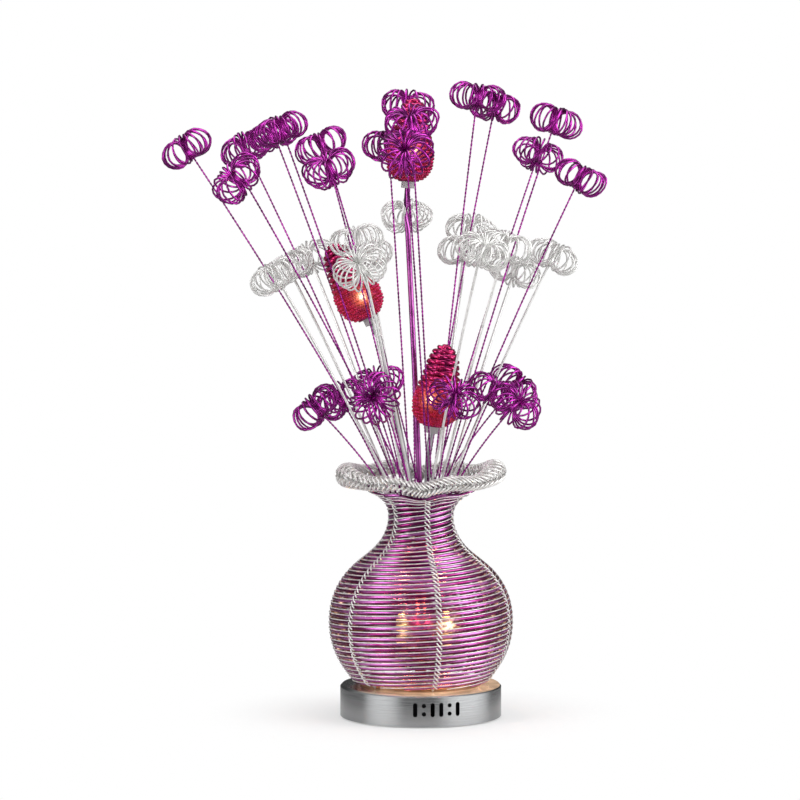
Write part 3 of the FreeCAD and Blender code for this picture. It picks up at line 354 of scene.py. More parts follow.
def coil_flower():
    tree, given = form_tree(
        "coil flower", Ring=0.0123, Loop=0.0106, Loops=18, Steps=16, Wire=0.00092, Shake=0.0024, Seed=3.0
    )
    closed = ring_of_loops(tree, given)
    axis = tree.add("GeometryNodeInputNamedAttribute", {"data_type": "FLOAT_VECTOR"}, {"Name": "axis"})
    turn = tree.add("GeometryNodeInputNamedAttribute", {"data_type": "FLOAT"}, {"Name": "turn"})
    facing = tree.add("FunctionNodeAlignRotationToVector", {"axis": "Z"}, {"Vector": axis})
    spin = tree.add("FunctionNodeAxisAngleToRotation", {}, {"Axis": (0, 0, 1), "Angle": turn})
    inputs = {"Rotation": facing, "Rotate By": spin}
    turned = tree.add("FunctionNodeRotateRotation", {"rotation_space": "LOCAL"}, inputs)
    points = tree.add("GeometryNodeMeshToPoints", inputs={0: given["Geometry"]})
    inputs = {"Points": points, "Instance": closed, "Rotation": turned}
    flowers = tree.add("GeometryNodeInstanceOnPoints", inputs=inputs)
    real = tree.add("GeometryNodeRealizeInstances", inputs={0: flowers})
    position = tree.add("GeometryNodeInputPosition")
    inputs = {"Vector": position, "W": given["Seed"], "Scale": 48.0, "Detail": 0.0}
    noise = tree.add("ShaderNodeTexNoise", {"noise_dimensions": "4D"}, inputs, "Color")
    off = tree.vectors("SUBTRACT", noise, (0.5, 0.5, 0.5))
    inputs = {"Geometry": real, "Offset": tree.scaled(off, given["Shake"] * 2.0)}
    shaken = tree.add("GeometryNodeSetPosition", inputs=inputs)
    ring = section(tree, 5, given["Wire"])
    return close_tree(tree, given, swept(tree, shaken, ring, capped=False))


FLOWER = coil_flower()
print("form:", FLOWER.name)

# %% [markdown]
# ## Two shades in every finish
# Craft wire is aluminium with a dyed, glossy skin, nearly black where turns crowd and pink where they
# catch the light. One flat colour would look like plastic, and so a slow noise mixes two shades. The same
# noise, stretched along the wall, gives brushed steel.

# %% Two-shade finishes
ROUGH_SPREAD = 0.12


def opened(material):
    """A material's tree, its shader and the place of each point."""
    material.use_nodes = True
    tree = Tree(material.node_tree)
    return tree, material.node_tree.nodes["Principled BSDF"], tree.add("ShaderNodeTexCoord").give("Object")


def mixed(tree, share, first, second):
    """The colour that lies between two by a share."""
    node = tree.group.nodes.new("ShaderNodeMix")
    node.data_type = "RGBA"
    tree.link(share, node.inputs["Factor"])
    for colour, socket in ((first, node.inputs[6]), (second, node.inputs[7])):
        if isinstance(colour, Number):
            tree.link(colour, socket)
        else:
            socket.default_value = (*colour, 1)
    return Number(tree, node.outputs[2])


def finish(
    name, light, dark, roughness, metallic=1.0, coat=0.0, scale=60.0, stretch=(1, 1, 1), bump=0.0, soft=0.15
):
    """A material whose colour and roughness wander between two shades."""
    material = bpy.data.materials.new(name)
    tree, shader, here = opened(material)
    mapped = tree.add("ShaderNodeMapping", {}, {"Vector": here, "Scale": stretch})
    noise = tree.noise(mapped, scale, 4.0)
    spread = tree.ranged(noise, (0.5 - soft, 0.5 + soft), (0.0, 1.0))
    tree.link(mixed(tree, spread, dark, light), shader.inputs["Base Color"])
    tree.link(spread * ROUGH_SPREAD + (roughness - ROUGH_SPREAD / 2), shader.inputs["Roughness"])
    shader.inputs["Metallic"].default_value = metallic
    shader.inputs["Coat Weight"].default_value = coat
    shader.inputs["Coat Roughness"].default_value = 0.12
    if bump:
        inputs = {"Height": noise, "Strength": bump, "Distance": 0.0004}
        tree.link(tree.add("ShaderNodeBump", {}, inputs), shader.inputs["Normal"])
    return material


print("finishes can be mixed")

# %% [markdown]
# ## The bulbs' light on the wires
# The wires near a bulb take up its light. Lamps alone would be far too strong for a white room. So the
# light is painted into the finish: a glow is a place with a reach, wires near it get painted shine, and a
# fine noise breaks the shine up into painted glints.

# %% Glows
GLINT_NOISE = (0.42, 0.68)
GLINT_SHARE = (0.15, 1.0)


def warm(material, glows, strength, grain):
    """Painted glow: the bulbs' light on the turns around them, as emission. A glow is (place, reach, share,
    colour), in metres.
    """
    tree, shader, here = opened(material)
    glint = tree.ranged(tree.noise(here, grain), GLINT_NOISE, GLINT_SHARE)
    total = None
    for place, reach, share, colour in glows:
        near = tree.ranged(tree.measure("DISTANCE", here, place), (reach, 0.0), (0.0, 1.0))
        light = tree.scaled(tree.vector(*colour), near * near * glint * share)
        total = light if total is None else tree.vectors("ADD", total, light)
    tree.link(total, shader.inputs["Emission Color"])
    shader.inputs["Emission Strength"].default_value = strength


print("glows ready")

# %% [markdown]
# ## The steel drum
# The drum is one pressed cup of brushed steel. Its inside is painted shade, near black, and on its top lies
# a painted pool of the warm light that falls out under the vase. The drum is one solid, and so the finish
# picks its colour by place.


# %% The drum's finish
def recolour(tree, shader, share, colour):
    """Another colour over the one that the shader has, by a share."""
    outer = Number(tree, shader.inputs["Base Color"].links[0].from_socket)
    tree.link(mixed(tree, share, outer, colour), shader.inputs["Base Color"])


def paint_inside_shade(material, reach, height):
    """Painted shade: within a reach of the axis and below a height, the drum's inside is coloured near black.
    """
    tree, shader, here = opened(material)
    away = tree.measure("LENGTH", tree.vectors("MULTIPLY", here, (1, 1, 0)))
    z = tree.add("ShaderNodeSeparateXYZ", {}, {0: here}).give("Z")
    inside = away.math("LESS_THAN", reach) * z.math("LESS_THAN", height)
    recolour(tree, shader, inside, (0.015, 0.015, 0.015))


def paint_light_pool(material, height, colour, strength, pool_tint):
    """Painted light: above a height, the warm light that falls out under the vase, most in front and to the
    right.
    """
    tree, shader, here = opened(material)
    parts = tree.add("ShaderNodeSeparateXYZ", {}, {0: here})
    above = parts.give("Z").math("GREATER_THAN", height)
    front = tree.ranged(parts.give("X") * 0.75 - parts.give("Y"), (-0.02, 0.05), (0.0, 1.0))
    uneven = tree.ranged(tree.noise(here, 55.0, 1.0), (0.3, 0.65), (0.5, 1.0))
    lit = above * front
    tree.link(mixed(tree, lit * uneven, (0, 0, 0), colour), shader.inputs["Emission Color"])
    shader.inputs["Emission Strength"].default_value = strength
    recolour(tree, shader, lit * 0.7, pool_tint)


STEEL = finish(
    "brushed steel", (0.47, 0.48, 0.485), (0.41, 0.42, 0.425), 0.18, scale=40.0, stretch=(1, 1, 30)
)
# painted shade: the drum's inside is coloured near black
paint_inside_shade(STEEL, reach=0.0686, height=0.0265)
# painted light: a warm pool on the drum's top, glowing and tinting the steel
paint_light_pool(STEEL, height=0.0272, colour=(1.0, 0.66, 0.42), strength=0.66, pool_tint=(0.30, 0.15, 0.08))
print("finish:", STEEL.name)

# %% [markdown]
# ## The other finishes
# Each material gets one line: light shade, dark shade, how rough it is and how metallic. Silver wire could
# be a full mirror, but craft wire is milky, so it is less than half metallic.

# %% The other finishes
ZINC = finish("plated steel", (0.62, 0.62, 0.60), (0.48, 0.48, 0.46), 0.4)
# painted light: the vase floor's warm colour stands for the bulbs' light on plated steel
LAMPLIT_ZINC = finish("zinc in lamplight", (0.52, 0.30, 0.17), (0.34, 0.19, 0.11), 0.5, 0.6)
PAINT = finish("black paint", (0.05, 0.05, 0.055), (0.03, 0.03, 0.035), 0.55, 0.0, bump=0.3)
FOAM = finish("foam", (0.06, 0.06, 0.06), (0.03, 0.03, 0.03), 0.9, 0.0, scale=900.0, bump=0.8)
CASE = finish("black plastic", (0.04, 0.04, 0.045), (0.025, 0.025, 0.03), 0.5, 0.0, scale=300.0, bump=0.2)
TERMINAL = finish("white nylon", (0.85, 0.84, 0.80), (0.74, 0.72, 0.66), 0.45, 0.0)
SLEEVE = finish("lead sleeve", (0.72, 0.72, 0.69), (0.6, 0.6, 0.56), 0.5, 0.0)
HOLDER = finish("grey plastic", (0.34, 0.33, 0.35), (0.26, 0.25, 0.27), 0.5, 0.0)
CERAMIC = finish("socket ceramic", (0.86, 0.84, 0.80), (0.76, 0.74, 0.69), 0.5, 0.0)
SOCKET = finish("glazed socket", (0.42, 0.40, 0.41), (0.32, 0.30, 0.31), 0.4, 0.0)
PURPLE_STALK = finish("purple stalk", (0.56, 0.14, 0.50), (0.26, 0.03, 0.22), 0.3, 0.8, coat=0.2)
# painted reflection: the centre tube's rose colour stands for the glows mirrored in it
LAMPLIT_TUBE = finish("tube in lamplight", (0.50, 0.10, 0.16), (0.30, 0.05, 0.09), 0.45, 0.8)
STALK = finish("grey stalk", (0.44, 0.43, 0.45), (0.30, 0.29, 0.31), 0.35, 0.6)
PURPLE = finish("purple wire", (0.54, 0.024, 0.45), (0.15, 0.004, 0.125), 0.22, 0.85, coat=0.3, scale=90.0)
BAND = finish(
    "purple band", (0.64, 0.19, 0.58), (0.24, 0.012, 0.14), 0.24, 0.95, coat=0.2, scale=26.0,
    stretch=(1, 1, 7), soft=0.09,
)
# painted shade: near-black wire for the rows behind the vase's gaps
PAINTED_SHADE = finish("wine core", (0.10, 0.006, 0.055), (0.03, 0.002, 0.02), 0.4, 0.8, scale=80.0)
SILVER = finish("silver wire", (0.93, 0.92, 0.90), (0.80, 0.79, 0.77), 0.3, 0.38, scale=120.0)
PETAL = finish("silver petal wire", (0.86, 0.86, 0.84), (0.68, 0.68, 0.66), 0.3, 0.45, scale=90.0)
CRIMSON = finish("crimson wire", (0.66, 0.020, 0.15), (0.32, 0.006, 0.10), 0.24, 0.85, coat=0.3, scale=160.0)
# painted shade: the shades' inner rows, dark wine for the shade between the ropes
SHADOWED_WINE = finish("wine wire", (0.30, 0.010, 0.13), (0.09, 0.003, 0.05), 0.3, 0.85, coat=0.2, scale=120.0)
print("finishes:", len(bpy.data.materials))

# %% [markdown]
# ## The vase's outline
# The vase has a foot, a round belly and a narrow neck. Its outline could be measured on the model's wall,
# but that wall is coarse. A smooth curve through nine points gives its radius at any height.

# %% The vase's outline
MOUTH = 200.5
OUTLINE = np.array(
    [(58.8, 30.2), (74.4, 54), (80.4, 84), (75.8, 108), (60.5, 130), (39.5, 148), (28.8, 173)]
    + [(32.5, 188), (50, MOUTH)]
)


def smooth_through(points, count):
    """Points along a cubic curve through the given ones, free at both ends."""
    steps = np.linalg.norm(np.diff(points, axis=0), axis=1)
    at = np.concatenate([[0], np.cumsum(steps)])
    size = len(points)
    matrix = np.zeros((size, size))
    right = np.zeros((size, points.shape[1]))
    matrix[0, 0] = matrix[-1, -1] = 1
    for i in range(1, size - 1):
        matrix[i, i - 1 : i + 2] = steps[i - 1], 2 * (steps[i - 1] + steps[i]), steps[i]
        rise = np.diff(points[i - 1 : i + 2], axis=0) / steps[i - 1 : i + 1, None]
        right[i] = 6 * (rise[1] - rise[0])
    bend = np.linalg.solve(matrix, right)
    where = np.linspace(0, at[-1], count)
    k = np.clip(np.searchsorted(at, where, side="right") - 1, 0, size - 2)
    h = steps[k][:, None]
    a = (at[k + 1] - where)[:, None] / h
    b = 1 - a
    return a * points[k] + b * points[k + 1] + ((a**3 - a) * bend[k] + (b**3 - b) * bend[k + 1]) * h * h / 6


curve = smooth_through(OUTLINE, 1500)
travel = np.concatenate([[0], np.cumsum(np.linalg.norm(np.diff(curve, axis=0), axis=1))])
shares = travel / travel[-1]
print(f"the outline is {travel[-1]:.1f} mm long")

# %% [markdown]
# ## Points on the vase
# Above the neck the mouth is drawn out into two ears and six folds, and it stands higher at the back. A
# function gives the point at a share of the outline, an angle and a depth. It is used in place of a bent
# mesh, because every wire of the vase is led through such points.

# %% Points on the vase
# degrees between the vents and the bouquet's front
TURN = 11.0
# metres in a millimetre, the unit of the lengths below
MM = 0.001
NECK = 172.9966
EARS_OUT, FOLDS_OUT = 13.5, 3.0
EARS_UP, FOLDS_UP, BACK_UP = 2.4, 2.0, 4.75


def ruffle(angle):
    """How far the mouth is drawn outwards and upwards at an angle in degrees."""
    turn = np.radians(np.asarray(angle) + TURN)
    outwards = EARS_OUT * np.cos(2 * turn) + FOLDS_OUT * np.cos(6 * turn)
    upwards = EARS_UP * np.cos(2 * turn) + BACK_UP * np.sin(turn) + FOLDS_UP * np.cos(6 * turn)
    return outwards, upwards


def outline_at(share, angle):
    """Radius and height at a share of the outline's length."""
    radius = np.interp(share, shares, curve[:, 0])
    height = np.interp(share, shares, curve[:, 1])
    flare = np.clip((height - NECK) / (MOUTH - NECK), 0, None)
    outwards, upwards = ruffle(angle)
    return radius + outwards * flare**3, height + upwards * flare**2


def on_vase(share, angle, depth):
    """Points on the vase, in metres, a depth in millimetres inside its outer surface."""
    share, angle = np.broadcast_arrays(np.asarray(share, float), np.asarray(angle, float))
    radius, height = outline_at(share, angle)
    low = outline_at(share - 0.004, angle)
    high = outline_at(share + 0.004, angle)
    run, rise = high[0] - low[0], high[1] - low[1]
    size = np.hypot(run, rise)
    radius = radius - depth * rise / size
    height = height + depth * run / size
    turn = np.radians(angle)
    return np.stack([radius * np.cos(turn), radius * np.sin(turn), height], axis=-1) * MM


print("mouth at the front:", on_vase(1.0, -90.0, 0.0).round(4))

# %% [markdown]
# ## The vase's winding
# The vase has no wall, only rows of flat purple wire with a thin silver wire in between. They could be
# rings, but the real rows climb by one in every panel between two ribs, so six wires run side by side. The
# silver lies right on a band, with a dark gap under the next one. Thin rows behind the gap, painted near
# black as the shade inside the vase, keep the white room from showing through.

# %% Wind the vase
ROWS = 42
TOP = 0.955
STEP = TOP / ROWS
RIBS = [270 + 60 * n for n in range(6)]
CORE_DEPTH = 2.3


def winding(shift, depth, sway=0.0):
    """Six wires side by side, each a line that climbs six rows in a turn."""
    lines = []
    for start in range(6):
        angle = np.arange(0, 360 * ROWS / 6 + 360, 3.6)
        share = (start + shift - 6 + angle / 60) / ROWS * TOP
        inside = (share > 0.004) & (share < TOP)
        angle, share = angle[inside], share[inside]
        wave = sway * np.sin(np.radians(angle * 3 + 25 * start))
        lines.append((on_vase(share, angle + RIBS[0], depth + wave), False))
    return lines


lines = winding(shift=0.63, depth=1.3, sway=0.10)
role = ("lamp", "purple_wire", "vase_purple_winding")
wires("vase_bands", lines, ROUND, BAND, *role, Radius=0.00125, Flat=0.6, Sides=8)
lines = winding(shift=0.17, depth=CORE_DEPTH)
wires("vase_shadow_rows", lines, ROUND, PAINTED_SHADE, "lamp", "purple_wire", Radius=0.00062, Sides=6)
lines = winding(shift=0.0, depth=0.5)
wires("vase_threads", lines, ROUND, SILVER, "lamp", "silver_wire", Radius=0.00044, Sides=6)

# %% [markdown]
# ## Stitches and ribs
# Where the silver crosses a rib it is hooked round it, which draws slanting stitches up each rib. A loop
# in the silver itself would be a knotted line. A short wire that lies over the rib shows the same.

# %% Stitch the ribs
STITCH_WIDTH = 4.6
STITCH_UP = np.array([0.62, 0.25, -0.25, -0.62])
STITCH_ASIDE = np.array([-0.5, -0.2, 0.2, 0.5])
STITCH_DEPTH = [0.5, -0.4, -0.4, 0.5]
RIB_DEPTH = 4.1
FOOT_DRAWN_IN = 0.93
FOOT_HEIGHT = 0.0295
DEGREES = 57.3

stitches = []
for rib in RIBS:
    for row in range(1, ROWS):
        share = row / ROWS * TOP
        width = STITCH_WIDTH / outline_at(share, rib)[0] * DEGREES
        stitch = on_vase(share + STITCH_UP * STEP, rib + STITCH_ASIDE * width, STITCH_DEPTH)
        stitches.append((stitch, False))
wires("rib_stitches", stitches, ROUND, SILVER, "lamp", "silver_wire", Radius=0.0006, Sides=6)

ribs = []
for rib in RIBS:
    up = on_vase(np.linspace(0.0, 0.985, 60), rib, RIB_DEPTH)
    foot = up[0].copy()
    foot[:2] *= FOOT_DRAWN_IN
    foot[2] = FOOT_HEIGHT
    ribs.append((np.vstack([foot, up]), False))
role = ("lamp", "silver_wire", "vase_ribs")
wires("vase_rib_wires", ribs, ROUND, SILVER, *role, Radius=0.0012, Sides=8)

# %% [markdown]
# ## The bulbs seen through the winding
# Polished wire breaks the two bulbs in the vase up into small bright places: gold bars before the left
# bulb, a star before the right one, pink glints and a faint red glow between them, and peach glints at
# both sides. Mirrored light would be noisy there, so they are painted as glows.

# %% Light the winding
GOLD = (1.0, 0.50, 0.16)
STRAW = (1.0, 0.66, 0.30)
CREAM = (1.0, 0.80, 0.50)
PEACH = (1.0, 0.60, 0.36)
ROSE = (1.0, 0.06, 0.16)
EMBER = (1.0, 0.06, 0.06)
BARS = (-0.0294, -0.0744)
STAR_AT = (0.0075, -0.0795, 0.0895)
LEFT_PINK = (-0.0213, -0.0772)
RIGHT_PINK = (-0.0100, -0.0790)
PINK_HEIGHT = 0.092

boxes = [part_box("vase_bulb_" + side) for side in ("left", "right")]
bulbs = [tuple((low[i] + high[i]) / 2 for i in range(3)) for low, high in boxes]
# painted glints: the bulbs' light seen through the winding
bars = [((*BARS, 0.083 + 0.007 * n), 0.009, 1.8 - 0.4 * n, STRAW) for n in range(3)]
star = [(STAR_AT, 0.009, 8.0, CREAM), (STAR_AT, 0.02, 1.6, GOLD)]
pink_glints = [((*LEFT_PINK, PINK_HEIGHT), 0.008, 3.6, ROSE), ((*RIGHT_PINK, PINK_HEIGHT), 0.008, 2.8, ROSE)]
red_glow_strip = [((*LEFT_PINK, 0.075 + 0.035 * n), 0.032, 0.22, EMBER) for n in range(2)]
peach_glints = []
for n in range(11):
    scatter = 2 * n % 3
    for angle in (-160.0 - 6.0 * scatter, -34.0 - 8.0 * scatter):
        peach_glints.append((on_vase(0.13 + 0.052 * n, angle, CORE_DEPTH), 0.0065, 3.0, PEACH))
glints = bars + star + pink_glints + red_glow_strip
warm(BAND, [(place, 0.085, 0.5, GOLD) for place in bulbs] + glints, 0.7, 260.0)
warm(PAINTED_SHADE, [(place, 0.10, 1.0, GOLD) for place in bulbs] + glints + peach_glints, 1.0, 200.0)
print("glows:", len(glints), "on bands and rows,", len(peach_glints), "peach_glints")

# %% [markdown]
# ## The rolled rim
# The rim is a fine silver spring laid round the mouth. A plain spring shows slanting lines, but the real
# one shows chevrons. So the outer side of every curl is pushed ahead, and a thinner spring of the opposite
# hand fills the inside. Both grow thicker at the two ears.

# %% Roll the rim
RIM_RADIUS = 50.5
RIM_HEIGHT = 208.6
EAR_SWELL = 3.6
EAR_IN = (3.0, 3.0, 1.0)
EAR_TUCK = 1.6
HOOP_LIFT = 3.1


def rim_middle(angle):
    """The line round the mouth that the springs are wound on, in millimetres."""
    outwards, upwards = ruffle(angle)
    turn = np.radians(angle)
    radius = RIM_RADIUS + outwards
    return np.stack([radius * np.cos(turn), radius * np.sin(turn), RIM_HEIGHT + upwards], axis=-1)


def spring(curls, radius, hand, phase, ahead):
    """A spring round the rim, its outer side pushed ahead by an angle in degrees."""
    steps = 16
    count = curls * steps
    angle = np.arange(count) / count * 360
    curl = FULL_TURN * np.arange(count) / steps * hand + phase
    angle = angle + ahead * np.sign(np.sin(curl)) * (1 - np.abs(np.cos(curl)))
    turn = np.radians(angle)
    ear = np.clip(np.cos(2 * (turn + math.radians(TURN))), 0, None) ** 4
    size = (radius + EAR_SWELL * ear)[:, None]
    tuck = EAR_TUCK - EAR_TUCK * np.cos(turn)
    inwards = np.stack([np.cos(turn) * ear, np.sin(turn) * ear, tuck * ear], axis=-1)
    side = np.stack([np.sin(curl) * np.cos(turn), np.sin(curl) * np.sin(turn), np.cos(curl)], axis=-1)
    return (rim_middle(angle) - inwards * EAR_IN + size * side) * MM


outer = spring(curls=78, radius=6.0, hand=1, phase=0.0, ahead=8.0)
inner = spring(curls=60, radius=4.3, hand=-1, phase=0.8, ahead=0.0)
lines = [(outer, True), (inner, True)]
wires("rim_spring", lines, ROUND, SILVER, "lamp", "silver_wire", "rim_coil", Radius=0.0009, Sides=6)
hoop = (rim_middle(np.arange(0, 360, 3.0)) + np.array([0, 0, HOOP_LIFT])) * MM
role = ("lamp", "silver_wire", "rim_hoop")
wires("rim_hoop_wire", [(hoop, True)], ROUND, SILVER, *role, Radius=0.0008, Sides=8)

# %% [markdown]
# ## Where the flowers are
# A rule could spread the 37 flowers evenly, but the photograph shows clusters. So each has a place of its
# own: across, back and up from the holder's top, seen from the front, and the angle that it nods.

# %% Where the flowers are
FLOWERS = {
    "upper_back_flowers": [(-12, 57, 357, 0), (-28, 47, 322, 0)],
    "upper_left_flowers": [(-155, 75, 320, 0), (-128, 40, 331, 0), (-201, -5, 318, 0), (-119, -25, 334, 0)]
    + [(-85, -30, 320, 8), (-153, -105, 290, 20), (-77, -85, 299, 8)],
    "upper_front_flowers": [(-14, -148, 310, 25), (-9, -113, 336, 8)],
    "upper_right_flowers": [(115, -15, 341, 0), (137, 0, 293, 0), (49, 22, 363, 0), (106, 110, 315, 0)]
    + [(65, 49, 356, 0)],
    "silver_left_flowers": [(-48, 70, 226, 0), (-98, 79, 223, 0), (-115, 18, 215, 0), (-124, -35, 209, 0)]
    + [(-54, -42, 239, 0), (-51, -105, 217, 20)],
    "silver_right_flowers": [(52, -67, 230, 10), (72, -35, 234, 0), (115, 25, 225, 0), (83, 55, 212, 0)]
    + [(38, 50, 229, 0), (45, 100, 247, 0), (-12, 100, 260, 0)],
    "lower_left_flowers": [(-38, 62, 112, 0), (-70, 32, 100, 0), (-91, 2, 94, 0), (-39, -70, 106, 35)],
    "lower_right_flowers": [(28, -58, 106, 10), (62, -20, 109, 0), (80, -55, 100, 0), (83, 35, 111, 0)],
}
print("flowers:", sum(len(places) for places in FLOWERS.values()))

# %% [markdown]
# ## The line of a stem
# A stem leaves its hole in the holder, bows gently and bends over at its tip, where the flower is pushed
# on. Springy wire is never straight. A curve with one handle, lifted above the chord's middle, is enough.

# %% The line of a stem
HOLDER_TOP = 173.9966
UP = Vector((0, 0, 1))
# each ring of holes: how far out it is, its first angle, and how much its stems bow
RINGS = {"upper": (11.52, 112, 0.045), "silver": (16.01, 118, 0.045), "lower": (20.50, 124, 0.09)}
SUNK = 5
STRAIGHT = 7
TIP_BEFORE, TIP_PAST = 14, 3


def bouquet_point(across, back, height):
    turn = math.radians(TURN)
    x = across * math.cos(turn) + back * math.sin(turn)
    y = -across * math.sin(turn) + back * math.cos(turn)
    return Vector((x, y, HOLDER_TOP + height))


def bowed(start, end, bow, steps=24):
    """A gentle bow from start to end, and its handle."""
    chord = end - start
    handle = (start + end) / 2 + (UP * chord.length - chord * (chord.z / chord.length)) * bow
    points = []
    for n in range(steps + 1):
        t = n / steps
        points.append(start * (1 - t) ** 2 + handle * (2 * t * (1 - t)) + end * t**2)
    return points, handle


def in_metres(points):
    """One open run of points, from millimetres."""
    return [([point * MM for point in points], False)]


def stem(ring, number, count, place, nod):
    """The line of one stem, its flower's middle and the axis that the flower is pushed on along."""
    radius, first, bow = RINGS[ring]
    angle = math.radians(first - TURN + 360 * number / count)
    foot = Vector((radius * math.cos(angle), radius * math.sin(angle), HOLDER_TOP - SUNK))
    start = foot + UP * STRAIGHT
    centre = bouquet_point(*place)
    lean = (centre - bowed(start, centre, bow)[1]).normalized()
    side = UP.cross(lean).normalized()
    tilt = math.radians(nod)
    axis = lean * math.cos(tilt) + side.cross(lean) * math.sin(tilt)
    neck = centre - axis * TIP_BEFORE
    return [foot] + bowed(start, neck, bow)[0] + [centre + axis * TIP_PAST], centre, axis


print("holder's top at", HOLDER_TOP, "mm")

# %% [markdown]
# ## Stems and flowers
# Purple stems are twisted from two wires, silver ones are single, and silver flowers have more and finer
# loops. Flowers could be single pieces, but one piece for each cluster is what the model has.

# %% Grow the stems and the flowers
WIRE_OF = {
    "upper": (PURPLE, "purple_wire"),
    "silver": (PETAL, "silver_wire"),
    "lower": (PURPLE, "purple_wire"),
}
FINE_COIL = {"Loops": 20, "Wire": 0.0008, "Shake": 0.0015}
for ring, (material, slot) in WIRE_OF.items():
    names = [name for name in FLOWERS if name.startswith(ring)]
    count = sum(len(FLOWERS[name]) for name in names)
    number = 0
    lines = []
    for name in names:
        centres, axes, turns = [], [], []
        for *place, nod in FLOWERS[name]:
            line, centre, axis = stem(ring, number, count, place, nod)
            lines += in_metres(line)
            centres.append(tuple(centre * MM))
            axes.append(tuple(axis))
            turns.append(2.4 * number + 0.7)
            number += 1
        settings = dict({"Seed": float(len(name))}, **(FINE_COIL if ring == "silver" else {}))
        bloom = grow(name + "_coiled", centres, [], FLOWER, material, settings, {"axis": axes, "turn": turns})
        dress(bloom, "lamp", slot, name)
    role = ("lamp", slot, ring + "_stems")
    if ring == "silver":
        wires(ring + "_stem_wires", lines, ROUND, material, *role, Radius=0.0011, Sides=8)
    else:
        wires(ring + "_stem_wires", lines, TWISTED, material, *role)

# %% [markdown]
# ## The shape of a shade
# A shade is wire wound in tight rows over a bud's outline. Rings would look alike from afar, but a wound
# line has no seams. Its rows are spaced along the outline, so that they don't part where the bud closes.

# %% The shape of a shade
# a lamp's place from the holder's top, how many degrees it leans, and the direction it leans to
LAMPS = {
    "top": ((-11, 8, 290), 4.5, 330),
    "left": ((-45, 2, 172), 27, 166),
    "right": ((10, -10, 79), 9.5, 345),
}
BUD = np.array(
    [(0.0, 9.5), (0.05, 13), (0.12, 18.2), (0.25, 20.5), (0.36, 20), (0.5, 17.5), (0.66, 15)]
    + [(0.8, 13.3), (0.91, 10.6), (0.97, 6.6), (1.0, 2)]
)
BUD_LENGTH = 70.0
STEPS_PER_ROW = 54


def lamp_frame(name):
    """The foot of a shade, its axis and two directions square to it."""
    place, lean, to = LAMPS[name]
    lean, to = math.radians(lean), math.radians(to)
    axis = Vector((math.sin(lean) * math.cos(to), math.sin(lean) * math.sin(to), math.cos(lean)))
    first = UP.cross(axis).normalized()
    return bouquet_point(*place), axis, first, axis.cross(first)


def rows_of_bud(name, start, end, pitch, inside, ripple=0.0, waves=0.0):
    """A wire wound round a shade between two shares of its length, evenly pitched along the outline."""
    way = np.linspace(start, end, 400)
    radius = np.interp(way, BUD[:, 0], BUD[:, 1])
    outline = np.concatenate([[0], np.cumsum(np.hypot(np.diff(way * BUD_LENGTH), np.diff(radius)))])
    rows = outline[-1] / pitch
    turn = np.linspace(0, rows * FULL_TURN, int(rows * STEPS_PER_ROW))
    share = np.interp(turn / turn[-1] * outline[-1], outline, way)
    foot, axis, first, second = (np.array(v) for v in lamp_frame(name))
    radius = np.interp(share, BUD[:, 0], BUD[:, 1]) - (inside + ripple * np.sin(turn * waves))
    radius = np.maximum(radius, 0.8)
    way = np.cos(turn)[:, None] * first + np.sin(turn)[:, None] * second
    return [((foot + (share * BUD_LENGTH)[:, None] * axis + radius[:, None] * way) * MM, False)]


for name in LAMPS:
    foot, axis = lamp_frame(name)[:2]
    print(name, "shade stands at", [round(v, 1) for v in foot], "axis", [round(v, 3) for v in axis])

# %% [markdown]
# ## The stalks
# A stalk is a tube that holds a lamp's socket and hides its leads, grey for the two lower lamps and purple
# for the top one. A straight cylinder would miss the socket, so it follows the same kind of bow as a stem.

# %% Grow the stalks
HOLDER_LOW = 161.9966
HOLE_REACH = 4.99
STALK_BOW = 0.06


def grow_stalk(name, hole, skin, slot):
    foot, axis = lamp_frame(name)[:2]
    angle = math.radians(90 - TURN + 120 * hole)
    start = Vector((HOLE_REACH * math.cos(angle), HOLE_REACH * math.sin(angle), HOLDER_TOP + 2))
    below = Vector((start.x, start.y, HOLDER_LOW + 1))
    end = foot - axis * 6
    line = [below] + bowed(start, end - axis * TIP_BEFORE, STALK_BOW)[0] + [end]
    role = ("lamp", slot, "stalk_" + name)
    wires("stalk_" + name + "_tube", in_metres(line), ROUND, skin, *role, Radius=0.0024, Sides=16)


grow_stalk("top", 0, PURPLE_STALK, "purple_wire")
grow_stalk("left", 1, STALK, "stalk_grey")
grow_stalk("right", 2, STALK, "stalk_grey")

# %% [markdown]
# ## The wound shades
# Dense rows lie inside, painted dark wine as the shade between the ropes, thick twisted rows give the upper
# part its ribs, and a crimped fine wire fills the lower part with glitter. A smooth bud with a bump would
# have too clean an edge. The lower part gets a painted glow, because the bulb stands there, and one painted
# bright spot stands for its light shining through to the front.

# %% Grow the shades
# the painted bright spot on each shade: how far up the axis and how far aside, and how strong its painted
# glow is
SPOT = {"top": (26, 3), "left": (19, 3), "right": (24, -6)}
LIT = {"top": 0.5, "left": 1.0, "right": 1.0}
SPOT_OUT = 18
TO_VIEW = Vector((-math.sin(math.radians(TURN)), -math.cos(math.radians(TURN)), 0.06)).normalized()


def shade_glows(name):
    foot, axis = lamp_frame(name)[:2]
    toward = (TO_VIEW - axis * TO_VIEW.dot(axis)).normalized()
    aside = axis.cross(toward)
    along, beside = SPOT[name]
    bulb = tuple((foot + axis * 20) * MM)
    spot = tuple((foot + axis * along + toward * SPOT_OUT + aside * beside) * MM)
    return [
        (bulb, 0.036, 0.9 * LIT[name], (1.0, 0.06, 0.045)),
        (spot, 0.013, 1.3 * LIT[name], (1.0, 0.40, 0.14)),
        (spot, 0.0055, 7.0 * LIT[name], CREAM),
    ]


# a copy of a material with one shade's painted glow
def lit_copy(material, name, strength, grain):
    copy = material.copy()
    copy.name = material.name + " " + name
    warm(copy, shade_glows(name), strength, grain)
    return copy


